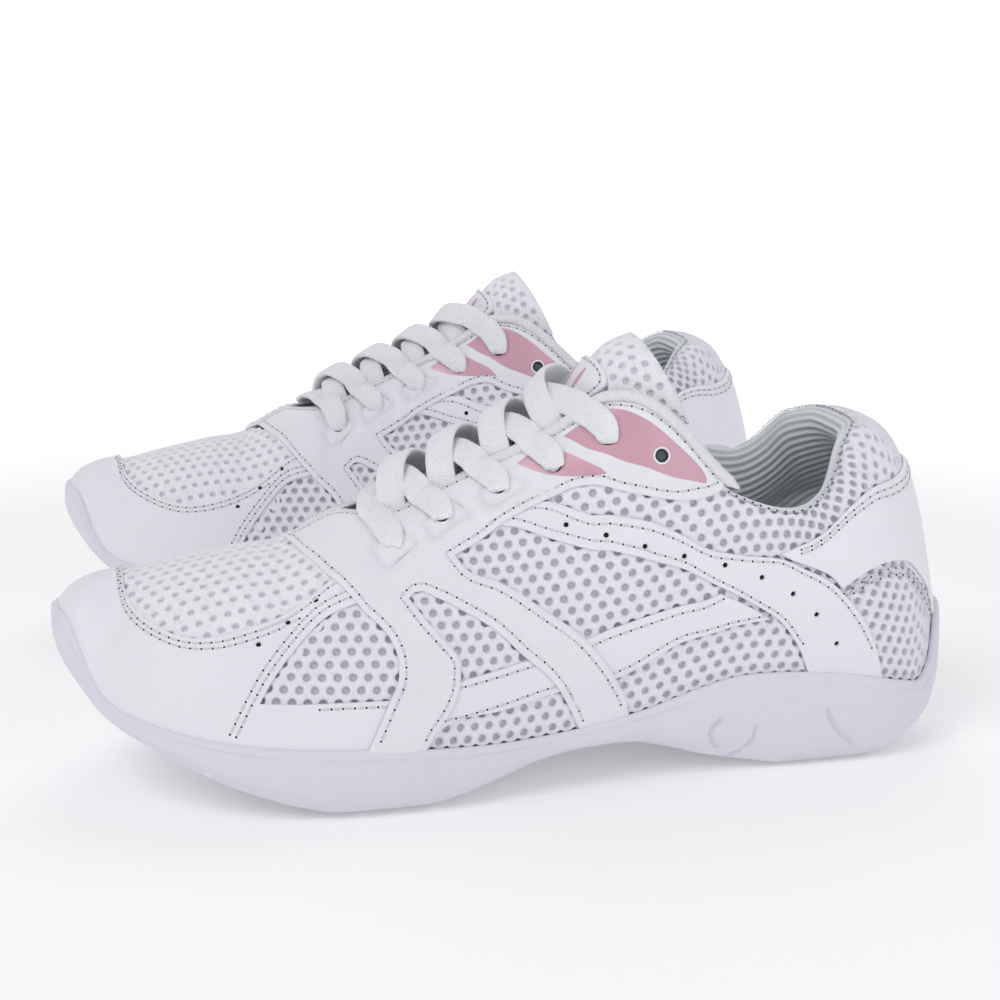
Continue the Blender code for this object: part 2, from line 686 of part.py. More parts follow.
# ---- overlays: outlines as (s, v) ----
CAP_TOP = [(.640,.70), (.66,.667), (.677,.642), (.708,.583), (.743,.533), (.785,.483),
           (.81,.475), (.843,.508), (.87,.567), (.905,.675), (.94,.80), (.97,.89), (1.0,.92)]
CAP_LEG = [(.743,.225), (.728,.342), (.71,.433), (.685,.517), (.657,.552), (.635,.585)]
BAND_TOP = [(.52,.77), (.473,.733), (.427,.617), (.385,.595), (.345,.60), (.30,.64),
            (.26,.667), (.225,.585), (.20,.483), (.173,.30), (.158,.158)]
BAND_LOW = [(.24,.208), (.26,.35), (.29,.433), (.325,.487), (.383,.490), (.427,.525),
            (.47,.615), (.508,.70), (.535,.735)]
STRIP_TOP = [(.7385,.233), (.69,.233), (.63,.233), (.562,.275), (.497,.303), (.443,.315),
             (.385,.395), (.332,.472)]
STRIP_LOW = [(.2675,.353), (.34,.268), (.413,.167), (.44,.165), (.468,.178), (.52,.158),
             (.578,.125)]
STRIP_END = (.297,.432)     # between the two, at the rear end
STAY_TOP = [(.316,.985), (.36,.988), (.40,.988), (.43,.988), (.50,.99), (.56,.99), (.62,.99),
            (.67,.985), (.715,.985)]
WING_LOW = [(.56,.667), (.532,.690), (.512,.712), (.465,.733), (.45,.733), (.435,.717),
            (.413,.675), (.385,.667), (.352,.717), (.333,.817), (.318,.93)]
# front and rear edges of the eyestay's front arm, then of its rear arm
FRONT_ARM_FRONT = [(.715,.985), (.70,.833), (.688,.75), (.675,.667), (.652,.558), (.623,.433),
                   (.618,.367), (.62,.292), (.628,.233), (.64,.125)]
FRONT_ARM_REAR = [(.588,.108), (.578,.158), (.565,.255), (.562,.333), (.575,.408), (.59,.483),
                  (.605,.575)]
REAR_ARM_FRONT = [(.605,.575), (.598,.592), (.58,.55), (.555,.483), (.527,.408), (.50,.308),
                  (.475,.217), (.46,.125)]
REAR_ARM_REAR = [(.404,.085), (.415,.167), (.43,.25), (.445,.317), (.482,.433), (.517,.533),
                 (.552,.617), (.56,.667)]
LARGE_PANEL = [(.450,.935), (.43,.945), (.408,.945), (.385,.925), (.357,.912), (.336,.918),
               (.334,.888), (.343,.833), (.36,.775), (.378,.755), (.397,.755), (.413,.772),
               (.432,.83)]
SMALL_PANEL = [(.492,.917), (.478,.935), (.462,.905), (.44,.81), (.420,.725), (.445,.765),
               (.47,.83)]
PANEL_LAP = 1.6         # the panels reach this far under the eyestay
# eyelet centres, from the toe end of the throat upwards
EYELETS = [(.615,.80), (.568,.833), (.512,.85), (.46,.842), (.417,.842), (.372,.817)]
HEEL_TOP = [(.2575,.690), (.233,.735), (.173,.733), (.12,.69), (.07,.625), (.03,.60), (0,.595)]
HEEL_FRONT = [(.2575,.690), (.222,.60), (.196,.493), (.188,.43)]
HEEL_LOW = [(.188,.43), (.158,.437), (.12,.427), (.098,.40), (.08,.317), (.055,.16)]


def cap_foot(side):
    """Lower edge of the toe cap, lifting further off the rim round the toe."""
    return [rim_point(side, s, .9+1.5*min(max((s-.80)/.03, 0), 1))
            for s in np.linspace(.758, 1.0, 20)]


def toe_nodes():
    """The vamp's own grid points, so that the cap follows its facets."""
    lateral = [(s, v) for s in TOE_COLUMNS for v in lifted(LATERAL, s, VAMP_ROWS)]
    medial = [(s, v) for s in TOE_COLUMNS[:-1] for v in lifted(MEDIAL, s, VAMP_ROWS)]
    return lateral + across_toe(medial)


def toe_cap():
    outer, inner = cap_foot(LATERAL), cap_foot(MEDIAL)
    tip = [CAP_LEG[-1], CAP_TOP[0]]     # rear end of each leg
    curves = [outer+across_toe(inner)[::-1][1:], across_toe(inner[:1]+CAP_LEG), across_toe(tip),
              across_toe(CAP_TOP)+CAP_TOP[::-1][1:], tip[::-1], (outer[:1]+CAP_LEG)[::-1]]
    sheet("toe_cap", "toe", curves, WHITE, FIRST_LAYER, edge_step=6, face_step=8,
          nodes=toe_nodes())


def side_band(side, label):
    top = BAND_TOP+[rim_point(side, .150)]
    low = [rim_point(side, .228)]+BAND_LOW
    curves = [top, along_rim(side, .150, .228, 4), low, [low[-1], top[0]]]
    sheet("side_band_"+label, side, curves, WHITE, FIRST_LAYER)


def side_strip(side, label):
    s, v = rim_point(side, .60)
    curves = [[rim_point(side, .7555), STRIP_TOP[0]], STRIP_TOP,
              [STRIP_TOP[-1], STRIP_END, STRIP_LOW[0]], STRIP_LOW+[(s, v+.01)],
              along_rim(side, .61, .7555, 7)]
    sheet("side_strip_"+label, side, curves, WHITE, FIRST_LAYER)


def eyelet_panel(side, name, outline, eyelets):
    """eyelets: (index, radius added to the hole)."""
    holes = [round_hole(side, *EYELETS[k], EYELET_R+extra) for k, extra in eyelets]
    sheet("eyelet_panel_"+name, side, [closed(grow(outline, PANEL_LAP))], PINK, FIRST_LAYER,
          holes, 6, 6)


def eyestay(side, label):
    """Eyestay with its two arms down to the sole, open over the pink panels."""
    holes = [round_hole(side, *EYELETS[k], EYELET_R) for k in (0, 1, 2)]
    holes += [resample([closed(panel)], 5)/PATTERN for panel in (LARGE_PANEL, SMALL_PANEL)]
    curves = [FRONT_ARM_FRONT+[rim_point(side, .65)], along_rim(side, .65, .597, 4),
              [rim_point(side, .597)]+FRONT_ARM_REAR, REAR_ARM_FRONT+[rim_point(side, .449)],
              along_rim(side, .449, .401, 4), [rim_point(side, .401)]+REAR_ARM_REAR,
              WING_LOW, [WING_LOW[-1], STAY_TOP[0]], STAY_TOP]
    sheet("eyestay_"+label, side, curves, WHITE, SECOND_LAYER, holes, 8, 9)


def heel_overlay():
    outer, inner = along_rim(LATERAL, .045, 0, 3), along_rim(MEDIAL, .045, 0, 3)
    curves = [HEEL_TOP+across_heel(HEEL_TOP)[::-1][1:], across_heel(HEEL_FRONT),
              across_heel(HEEL_LOW+outer[:1]), across_heel(outer)+inner[::-1][1:],
              inner[:1]+HEEL_LOW[::-1], HEEL_FRONT[::-1]]
    sheet("heel_overlay", "heel", curves, WHITE, FIRST_LAYER, (), 9, 8)


# ---- inside: heel counter, toe puff, collar foam, lining ----
def both_sides(columns):
    return np.concatenate([-columns[::-1], columns[1:]])


def wrapped_grid(wrap, columns, rows, offset):
    """Grid on a two-sided wrap; offset is a number or a function of (s, v)."""
    t, v = np.meshgrid(columns, rows, indexing="ij")
    s, lateral = fold(wrap, t)
    if wrap == "heel":
        v = v*quarter_top(s)
    v = np.where(lateral, lifted(LATERAL, s, v), lifted(MEDIAL, s, v))
    return last(wrap, t, v, offset(s, v) if callable(offset) else offset)


def wrapped_solid(wrap, columns, rows, face, back):
    return shell_solid(*(wrapped_grid(wrap, columns, rows, offset) for offset in (face, back)))


def pad_depth(s, v):
    """Thickness of the collar foam: full round the heel, thinning towards its front ends."""
    bulge = np.sin(np.clip((v-.54)/.52, 0, 1)*math.pi)**0.55
    return 6.2*bulge*np.clip((.31-s)/.05, .25, 1)


def lining_offset(s, v):
    """The lining lies over the foam at the heel and on the shell in front of it."""
    heel = np.clip((.385-s)/.05, 0, 1)
    return INSIDE - 1.8*heel - heel*pad_depth(np.minimum(s, .29), v)


def heel_counter():
    shape = wrapped_solid("heel", both_sides(HEEL_COLUMNS[:7]), ROWS[1:4],
                          INSIDE, INSIDE-COUNTER_T)
    place("heel_counter", shape, STIFF)


def toe_puff():
    lateral = TOE_COLUMNS[2:]
    columns = np.array(lateral + [2-s for s in lateral[-2::-1]])
    shape = wrapped_solid("toe", columns, VAMP_ROWS[2:9], INSIDE, INSIDE-PUFF_T)
    place("toe_puff", shape, STIFF)


def collar_padding():
    rows = np.array([.52, .64, .78, .90, .985])
    shape = wrapped_solid("heel", both_sides(HEEL_COLUMNS), rows,
                          INSIDE, lambda s, v: INSIDE-1.0-pad_depth(s, v))
    place("collar_padding", shape, FOAM)


def collar_lining():
    columns = both_sides(np.concatenate([HEEL_COLUMNS, SIDE_COLUMNS]))
    rows = np.concatenate([ROWS[1:7], [.965]])
    shape = wrapped_solid("heel", columns, rows,
                          lambda s, v: lining_offset(s, v)-LINING_T, lining_offset)
    place("collar_lining", shape, KNIT)


def topline_piping(side, label):
    """Round cord on the top line along each wing."""
    radius, out, rise, corners = 1.3, 1.2, 2.6, 6
    s = np.linspace(.305, .395, 9)
    centre = upper(side, s, 1.0) + upper_normal(side, s, .985)*out
    centre[:, 2] += rise
    tangent = unit(np.gradient(centre, axis=0))
    across = unit(np.cross(tangent, [0, 0, 1.0]))
    upward = np.cross(across, tangent)
    angles = [2*math.pi*k/corners for k in range(corners)]
    points = [centre[i] + radius*(math.cos(a)*across[i]+math.sin(a)*upward[i])
              for i in range(len(s)) for a in angles]
    place("topline_piping_"+label, tube(points, corners), WHITE)


# ---- tongue: arched pad under the lacing, hinged by its seam to the vamp ----
# middle line from the base up: (along, z, half width round the arch)
TONGUE_LINE = [(198,62.5,14), (192,65,17), (186,68,19), (180,70.5,20), (171,73.5,19),
               (158,79,17), (141,86,15), (127,94.6,15), (119,105,18), (114,116.5,21),
               (107,125,19)]
TONGUE_R, TONGUE_T, TONGUE_EDGE_T = 26.5, 5.5, 1.6      # arch radius, thicknesses


def tongue_point(u, w, depth):
    """u 0..1 from the base, w -1..1 across, depth below the face."""
    table = np.array(TONGUE_LINE, float)
    line, half_widths = table[:, :2], table[:, 2]
    knots = chord(line)/chord(line)[-1]
    centre = hermite(knots, line, u)
    tangent = unit(hermite(knots, line, np.clip(u+.01, 0, 1))
                   - hermite(knots, line, np.clip(u-.01, 0, 1)))
    normal = np.stack([-tangent[..., 1], tangent[..., 0]], -1)
    normal *= np.sign(normal[..., 1:2]+1e-9)
    angle = w*hermite(knots, half_widths, u)/TONGUE_R
    radius = TONGUE_R-depth
    drop = radius*np.cos(angle)-TONGUE_R
    along = centre[..., 0] + normal[..., 0]*drop
    return np.stack([along, radius*np.sin(angle), centre[..., 1] + normal[..., 1]*drop], -1)


def tongue():
    rows = np.array([0, .08, .18, .3, .42, .54, .66, .76, .85, .93, 1.0])
    u, w = np.meshgrid(rows, np.linspace(-1, 1, 9), indexing="ij")
    # the padding thins out to all four edges
    fullness = (np.clip((1-np.abs(w))/.3, 0, 1)**.5*np.clip((1-u)/.08, 0.2, 1)
                * np.clip(u/.08+.3, 0, 1))
    back = tongue_point(u, w, TONGUE_EDGE_T+(TONGUE_T-TONGUE_EDGE_T)*fullness)
    place("tongue", shell_solid(tongue_point(u, w, 0), back), MESH)


def tongue_label():
    u, w = np.meshgrid(np.linspace(.865, .965, 3), np.linspace(-.42, .42, 5), indexing="ij")
    shape = shell_solid(tongue_point(u, w, -1.4), tongue_point(u, w, -.5))
    place("tongue_label", shape, WHITE)


# ---- lace: straight bars over the tongue, riding up under each eyestay to the next eyelets ----
# one bar per eyelet pair: (u on the tongue, height over it, w of the outer crossing points,
# shift in s at the throat edge, offsets half way to that edge and on it,
# offset behind the eyelet, offset of the hidden run that follows)
LACE_BARS = [
    (.235, 6.5, None, -.012, 7.0, 8.7, -.9, -.8),
    (.365, 3.8, .3, 0, 6.2, 6.9, -.9, -.8),
    (.53, 3.8, .3, 0, 6.2, 6.9, -.9, -.8),
    (.665, 3.8, .3, .012, 6.2, 6.9, -1.75, -1.9),
    (.735, 3.8, .3, .03, 6.2, 6.9, -1.75, -.8)]
LACE_END = (.015, -.02)         # the lace's ends lie this far from the eyelet in s and v
LACE_HALF, LACE_SPREAD = 1.5, 1.2       # half width in an eyelet, added on the bars
LACE_HALF_T = .65


def lace_path():
    """(point, 1 where the lace lies flat and wide or 0 where it is gathered)."""
    path = []
    for k, (u, height, reach, shift, half_off, edge_off, behind, hidden) in enumerate(LACE_BARS):
        start, end = (LATERAL, MEDIAL) if k % 2 == 0 else (MEDIAL, LATERAL)
        s, v = EYELETS[k]

        def rise(side):
            return ([(last(side, s, v, offset), 0) for offset in (behind, 1.6, 4.2)]
                    + [(last(side, s+shift*.5, v+(1-v)*.5, half_off), 1),
                       (last(side, s+shift, .99, edge_off), 1)])

        if k == 0:
            path.append((last(start, s+LACE_END[0], v+LACE_END[1], -.8), 0))
        path += rise(start)
        crossings = (0,) if reach is None else (reach*start, 0, -reach*start)
        path += [(tongue_point(u, w, -height), 1) for w in crossings]
        path += rise(end)[::-1]
        if k < len(LACE_BARS)-1:
            next_s, next_v = EYELETS[k+1]
            path.append((last(end, (s+next_s)/2, (v+next_v)/2, hidden), 0))
        else:
            path.append((last(end, s-LACE_END[0], v+LACE_END[1], hidden), 0))
    return path


def lace():
    path = lace_path()
    centre = np.array([point for point, _ in path])
    half = LACE_HALF+LACE_SPREAD*np.array([wide for _, wide in path], float)
    tangent = unit(np.gradient(centre, axis=0))
    throat = np.array([-1.0, 0, .45])       # the width lies along the throat
    across = unit(throat - tangent*np.sum(throat*tangent, axis=1)[:, None])
    normal = np.cross(tangent, across)
    section = [(-1, -LACE_HALF_T), (-1, LACE_HALF_T), (1, LACE_HALF_T), (1, -LACE_HALF_T)]
    points = [centre[i]+across[i]*x*half[i]+normal[i]*y
              for i in range(len(centre)) for x, y in section]
    place("lace", tube(points, len(section)), LACE)


sole_unit()
heel_tread()
lasting_board()
insole()
vamp_mesh()
toe_cap()
heel_overlay()
heel_counter()
toe_puff()
collar_padding()
collar_lining()
for side, label in SIDES:
    quarter_mesh(side, label)
    side_band(side, label)
    side_strip(side, label)
    eyelet_panel(side, "small_"+label, SMALL_PANEL, [(3, .3)])
    eyelet_panel(side, "large_"+label, LARGE_PANEL, [(4, .5), (5, 0)])
    eyestay(side, label)
    topline_piping(side, label)
tongue()
tongue_label()
lace()
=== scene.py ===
import bpy, bmesh, math
import numpy as np
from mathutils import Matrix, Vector
from mathutils.geometry import delaunay_2d_cdt

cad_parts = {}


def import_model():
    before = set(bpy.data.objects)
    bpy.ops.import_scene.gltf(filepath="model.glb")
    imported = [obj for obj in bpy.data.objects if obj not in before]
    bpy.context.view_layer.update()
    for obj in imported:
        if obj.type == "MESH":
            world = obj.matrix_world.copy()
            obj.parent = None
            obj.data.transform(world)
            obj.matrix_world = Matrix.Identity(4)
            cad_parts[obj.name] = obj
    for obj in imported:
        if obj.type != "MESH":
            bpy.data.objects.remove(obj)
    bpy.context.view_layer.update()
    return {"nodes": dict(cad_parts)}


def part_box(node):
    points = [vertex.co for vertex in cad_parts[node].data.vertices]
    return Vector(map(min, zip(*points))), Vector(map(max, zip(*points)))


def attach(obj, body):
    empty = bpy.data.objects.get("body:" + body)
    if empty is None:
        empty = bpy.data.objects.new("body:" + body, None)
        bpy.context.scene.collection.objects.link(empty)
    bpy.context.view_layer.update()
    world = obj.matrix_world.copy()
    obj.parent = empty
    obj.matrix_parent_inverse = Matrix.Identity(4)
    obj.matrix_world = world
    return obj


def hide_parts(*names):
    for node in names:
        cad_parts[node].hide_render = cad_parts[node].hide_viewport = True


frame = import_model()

_lo, _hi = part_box("left_sole_unit"); _rlo, _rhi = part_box("right_sole_unit")
LENGTH = round((_hi.x-_lo.x)*1000, 2); HEEL_X = _hi.x*1000
FEATHER, SHELL_T, INSIDE, INSOLE_T, BOARD_T = 3.0, 1.4, -1.9, 4.0, 1.4
WORLD_LIGHT = 1.0

# ---- curves ----
def hermite(xs, ys, x):
    xs = np.asarray(xs, float); ys = np.asarray(ys, float)
    x = np.clip(np.asarray(x, float), xs[0], xs[-1])
    flat = ys.ndim == 1
    if flat: ys = ys[:, None]
    h = np.diff(xs); d = np.diff(ys, axis=0)/h[:, None]
    m = np.zeros_like(ys)
    m[1:-1] = (d[:-1]*h[1:, None] + d[1:]*h[:-1, None])/(h[1:]+h[:-1])[:, None]
    m[0], m[-1] = d[0], d[-1]
    m[1:-1] = np.where(d[:-1]*d[1:] <= 0, m[1:-1]*0.35, m[1:-1])
    i = np.clip(np.searchsorted(xs, x, side="right")-1, 0, len(xs)-2)
    t = ((x-xs[i])/h[i])[..., None]; hh = h[i][..., None]
    r = (2*t**3-3*t**2+1)*ys[i] + (t**3-2*t**2+t)*hh*m[i] + (-2*t**3+3*t**2)*ys[i+1] + (t**3-t**2)*hh*m[i+1]
    return r[..., 0] if flat else r

def chord(P):
    return np.concatenate([[0], np.cumsum(np.linalg.norm(np.diff(P, axis=0), axis=1))])

def smooth(P, n):
    P = np.asarray(P, float)
    c = chord(P)
    return hermite(c, P, np.linspace(0, c[-1], n))

# ---- the last: plan outline of the sole (a from the heel, y: lateral -, medial +) ----
OUT = {-1: [(0,0),(1.2,-9),(5,-18),(13,-26.5),(26,-32.5),(45,-35),(75,-35.5),(105,-37),(132,-41),(158,-46.5),(180,-49),(200,-48.5),(220,-45),(238,-37.5),(252,-27),(262,-14),(267,-3),(LENGTH,5)],
        1: [(0,0),(1.2,9),(5,18),(13,26),(26,31.5),(45,33),(75,31.5),(102,30.5),(126,33),(150,39),(172,45),(194,47.5),(215,46.5),(234,41.5),(249,33.5),(260,23),(266,12),(LENGTH,5)]}
# height of the sole's underside (heel bevel, arch, toe spring) and of its rim
ZBOT = [(0,18),(3,13),(8,8),(16,4),(24,1.2),(30,0),(60,0),(68,1.3),(84,4.5),(94,7.5),(102,9.5),(119,10),(132,8.5),(146,4.5),(158,1.2),(165,0),(192,0),(200,1.5),(215,6),(228,11),(240,16.5),(250,21),(258,26.5),(264,32),(268,36)]
ZRIM = [(0,42),(2,41),(4,35),(6,29),(9,24.5),(13,22),(20,23.5),(35,27.2),(55,29.8),(67,30),(77,29),(87,26.3),(101,22),(109,20.3),(123,18.3),(143,17.3),(163,18.3),(182,20),(200,21),(217,22.5),(234,25),(245,27.5),(252,30),(256,33),(259,38.5),(262,46),(264,50),(268,52)]
ZFLOOR = [(0,21),(12,19.5),(40,18.5),(80,18),(110,17),(140,13),(165,9.5),(190,9.5),(215,13),(235,20),(250,27),(262,35),(268,40)]
# top line: (bite position, a, half breadth, z); "s" entries give s itself
TOP = [("s",0.0,33,0,98.5),("s",0.035,33.5,8,98.5),("a",8,36,16,98),("a",16,41,23,94),("a",28,44.5,27,86),("a",42,50,28.5,79),("a",56,58,29,76.8),("a",66,66,29,78.5),("a",76,75,28,83),("a",84,82,26.5,89.5),
       ("a",92,91,24.5,100),("a",102,101,22,108),("a",111,110,18.5,109),("a",118,117,15,104),("a",126,126,11.5,97.5),("a",141,141,10,90.5),("a",158,157,9.5,83),("a",172,171,9,76.5),("a",181,180,5.5,75.5),("a",188,186,1,75),
       ("a",199,196,-1.5,70),("a",206,202,-2,67.3),("a",218,212,-2.5,66),("a",232,223,-3.5,64),("a",246,233,-4,62),("a",257,240,-4.5,60.5),("s",.965,244.5,-4.9,59.3),("s",1.0,246,-5,59)]
MEDIAL_COLLAR = {3: 95.5, 4: 91.5, 5: 86, 6: 83, 7: 84.5, 8: 88, 9: 92.5, 10: 101}   # the inner ankle side stands higher
RIDGE = 20              # from here forward both sides meet on the vamp's ridge
# how far each side section swells: out and up at the bite, out and down at the top
SWELL = [(-5,22,18,-7),(-5,22,18,-7),(0,28,15,-5),(1,26,12,-4),(1.5,24,9,-2),(1.5,18,6,4),(1.5,14,4.5,8),(1.5,14,4.5,9),(1.5,15,5,10),(1,16,6,12),
         (1,19,7,14),(1,22,8.5,15),(1,23,10,14),(1,22,11.5,12),(1,21,13,9.5),(1,20,14,8.5),(1,19,15,7),(1.2,18,16.5,5),(1.3,17,19,3),(1.4,16,23,1.5),
         (1.5,16,24,1),(1.5,16,24,0.5),(1.8,16,24,0.5),(2,16,22,0.5),(2,15,18,0.5),(1,11,12,0.3),(-1.5,7,8,0.3),(-1.5,7,8,0.3)]

def zbot(a): return np.maximum(hermite(*zip(*ZBOT), a), 0.0)     # flat where it stands
def zrim(a): return hermite(*zip(*ZRIM), a)
def zfloor(a): return hermite(*zip(*ZFLOOR), a)

class Side:
    """One side of the last."""
    def __init__(self, sg):
        C = smooth(OUT[sg], 800); c = chord(C)
        self.s, self.C = c/c[-1], C
        T = np.gradient(C, self.s, axis=0); T /= np.linalg.norm(T, axis=1)[:, None]
        N = np.stack([T[:, 1], -T[:, 0]], -1)*(-sg)
        if N[400, 1]*sg < 0: N = -N
        for w, e in ((np.clip(1-self.s/.03, 0, 1), (-1, 0)), (np.clip(1-(1-self.s)/.03, 0, 1), (1, 0))):
            N = N*(1-w)[:, None] + np.array(e)*w[:, None]      # square to the middle line at heel and toe
        N /= np.linalg.norm(N, axis=1)[:, None]
        self.N = N
        ks = np.array([k[1] if k[0] == "s" else float(np.interp(k[1], C[:, 0], self.s)) for k in TOP])
        E = []
        for i, (_, _, a, y, z) in enumerate(TOP):
            yy = -y if (sg < 0 or i >= RIDGE) else y
            E.append((a, yy, MEDIAL_COLLAR.get(i, z) if sg > 0 else z))
        self.g = np.linspace(0, 1, 1201)
        self.E = hermite(ks, np.array(E), self.g); self.H = hermite(ks, np.array(SWELL, float), self.g)
        self.ks = ks
    def row(self, table, s): return np.stack([np.interp(s, self.g, table[:, k]) for k in range(table.shape[1])], -1)
    def out(self, s): return np.stack([np.interp(s, self.s, self.C[:, k]) for k in (0, 1)], -1)
    def normal(self, s):
        n = np.stack([np.interp(s, self.s, self.N[:, k]) for k in (0, 1)], -1)
        return n/np.linalg.norm(n, axis=-1, keepdims=True)
SIDE = {-1: Side(-1), 1: Side(1)}

def upper(sg, s, v):
    s, v = np.broadcast_arrays(np.asarray(s, float), np.asarray(v, float))
    S = SIDE[sg]; E = S.row(S.E, s); H = S.row(S.H, s); n = S.normal(s); o = S.out(s)
    P0 = np.concatenate([o - n*FEATHER, (zrim(o[..., 0])-2.0)[..., None]], -1)
    up = np.zeros_like(P0); up[..., 2] = 1
    n3 = np.concatenate([n, np.zeros_like(n[..., :1])], -1)
    P1 = P0 + n3*H[..., 0:1] + up*H[..., 1:2]
    d = P0[..., :2]-E[..., :2]; d /= np.maximum(np.linalg.norm(d, axis=-1, keepdims=True), 1e-6)
    d3 = np.concatenate([d, np.zeros_like(d[..., :1])], -1)
    hb = np.clip(1-(s-0.30)/0.15, 0, 1)[..., None]
    d3 = d3*(1-hb) + n3*hb; d3 /= np.linalg.norm(d3, axis=-1, keepdims=True)
    P2 = E + d3*H[..., 2:3] - up*H[..., 3:4]
    t = v[..., None]
    return (1-t)**3*P0 + 3*(1-t)**2*t*P1 + 3*(1-t)*t*t*P2 + t**3*E

def upper_n(sg, s, v, e=2e-3):
    s, v = np.broadcast_arrays(np.asarray(s, float), np.asarray(v, float))
    v = np.minimum(v, 1-.24*np.clip((s-.90)/.05, 0, 1))     # the sections run together where the ridge ends
    ts = upper(sg, np.clip(s+e, 0, 1), v) - upper(sg, np.clip(s-e, 0, 1), v)
    tv = upper(sg, s, np.clip(v+2*e, 0, 1)) - upper(sg, s, np.clip(v-2*e, 0, 1))
    n = np.cross(ts, tv)*(-sg)
    return n/np.maximum(np.linalg.norm(n, axis=-1, keepdims=True), 1e-9)

def last(mode, t, v, off=0.0):
    """mode -1 or 1: one side, t = s. 'heel': t < 0 lateral, > 0 medial. 'toe': t = s lateral, 2 - s medial."""
    t, v = np.broadcast_arrays(np.asarray(t, float), np.asarray(v, float))
    if mode in (-1, 1):
        return upper(mode, t, v) + upper_n(mode, t, v)*np.asarray(off)[..., None]*np.ones_like(t)[..., None]
    s = np.abs(t) if mode == "heel" else np.where(t <= 1, t, 2-t)
    lat = (t <= 0) if mode == "heel" else (t <= 1)
    seam = np.abs(t) < 1e-6 if mode == "heel" else np.abs(t-1) < 1e-6
    P = np.where(lat[..., None], upper(-1, s, v), upper(1, s, v))
    nl, nm = upper_n(-1, s, v), upper_n(1, s, v)
    N = np.where(seam[..., None], nl+nm, np.where(lat[..., None], nl, nm))
    N /= np.linalg.norm(N, axis=-1, keepdims=True)
    return P + N*np.broadcast_to(np.asarray(off, float), t.shape)[..., None]

_v = np.linspace(0, 0.45, 91)
def rim_v(sg, s, lift=0.5):
    """v at which the upper clears the sole's rim by lift."""
    s = np.atleast_1d(np.asarray(s, float))
    zz = upper(sg, s[:, None], _v[None])[..., 2] - zrim(SIDE[sg].out(s)[:, 0])[:, None]
    k = np.argmax(zz >= lift, axis=1); k = np.maximum(k, 1)
    z0, z1 = zz[np.arange(len(s)), k-1], zz[np.arange(len(s)), k]
    return _v[k-1] + (lift-z0)/(z1-z0)*(_v[1]-_v[0])
def along_rim(sg, s0, s1, n, lift=0.5):
    s = np.linspace(s0, s1, n)
    return list(zip(s, rim_v(sg, s, lift)))


_ym = float(min(SIDE[-1].C[:, 1])); YL, YR = _lo.y*1000-_ym, _rhi.y*1000+_ym
def world(P, right):
    P = np.asarray(P, float); y = YR-P[:, 1] if right else YL+P[:, 1]
    return np.stack([HEEL_X-P[:, 0], y, P[:, 2]], -1)/1000

def inside(poly, pts):
    x, y = pts[:, 0], pts[:, 1]; r = np.zeros(len(pts), bool)
    for i in range(len(poly)):
        (x0, y0), (x1, y1) = poly[i-1], poly[i]
        c = (y0 > y) != (y1 > y)
        r ^= c & (x < (x1-x0)*(y-y0)/((y1-y0) if y1 != y0 else 1e-12)+x0)
    return r
SCALE = np.array([300.0, 75.0])
def resample(curves, step):
    """Closed outline from smooth curves joined at sharp corners."""
    pts = []
    for c in curves:
        c = np.asarray(c, float)*SCALE
        d = smooth(c, 200) if len(c) > 2 else np.stack([c[0]+(c[1]-c[0])*t for t in np.linspace(0, 1, 50)])
        l = chord(d); n = max(1, int(round(l[-1]/step)))
        k = np.linspace(0, l[-1], n+1)
        q = np.stack([np.interp(k, l, d[:, j]) for j in (0, 1)], -1)
        pts.extend(q[:-1])
    out = [pts[0]]
    for p in pts[1:]:
        if np.linalg.norm(p-out[-1]) > 0.3: out.append(p)
    if np.linalg.norm(out[0]-out[-1]) < 0.3: out.pop()
    return np.array(out)
def over_toe(c): return [(2-s, v) for s, v in c]
def mirror(c): return [(2-s, v) for s, v in c][::-1]
def neg(c): return [(-s, v) for s, v in c][::-1]
def hole(sg, s, v, r, n=8):
    e = 1e-3
    J = np.stack([(upper(sg, s+e, v)-upper(sg, s-e, v))/(2*e), (upper(sg, s, v+e)-upper(sg, s, v-e))/(2*e)], -1)
    nn = upper_n(sg, s, v); e1 = J[:, 0]/np.linalg.norm(J[:, 0]); e2 = np.cross(nn, e1)
    pin = np.linalg.pinv(J)
    return [tuple(np.array([s, v]) + pin@(r*(math.cos(2*math.pi*k/n)*e1 + math.sin(2*math.pi*k/n)*e2))) for k in range(n)]

def stations(n, extra=()):
    x = np.linspace(0, 1, n); s = 0.45*x + 0.55*0.5*(1-np.cos(math.pi*x))
    return np.array(sorted(set(np.round(np.concatenate([s, extra]), 6))))
def spine(s):
    a = (SIDE[-1].out(s)[..., 0]+SIDE[1].out(s)[..., 0])/2/LENGTH
    y = np.clip((a-0.35)/0.65, 0, 1)*3.0
    return np.stack([30+(238-30)*a, y], -1)
def inset(sg, s, off):
    o = SIDE[sg].out(s); c = spine(s); d = c-o
    return o + d*(np.minimum(off/np.linalg.norm(d, axis=-1), 0.97))[..., None]
TREAD_S = float(np.interp(72, SIDE[-1].C[:, 0], SIDE[-1].s)); STEP_S = 0.0020
SEAM = [(0,.775),(.25,.755),(.5,.70),(.65,.672),(.8,.672),(1,.69)]   # vamp to quarter, under the toe cap's legs
def seam_s(v): return hermite(*zip(*SEAM), v)
VROWS = np.array([0, .09, .30, .50, .64, .78, .90, 1.0])
V = np.concatenate([VROWS*.70, [.85, 1.0]])
COLS = [.85, .89, .92, .945, .965, .983, 1.0]
def lifted(sg, s, rows):
    """Rows of v with the lowest one just clear of the rim."""
    v0 = rim_v(sg, s, .6)
    return np.maximum(np.asarray(rows), 0)*(1-v0)+v0
HEEL_COLS = np.array([0, .02, .045, .075, .11, .15, .19, .23, .265, .30])
SIDE_COLS = np.array([.335, .37, .41, .45, .49, .53, .57, .62])
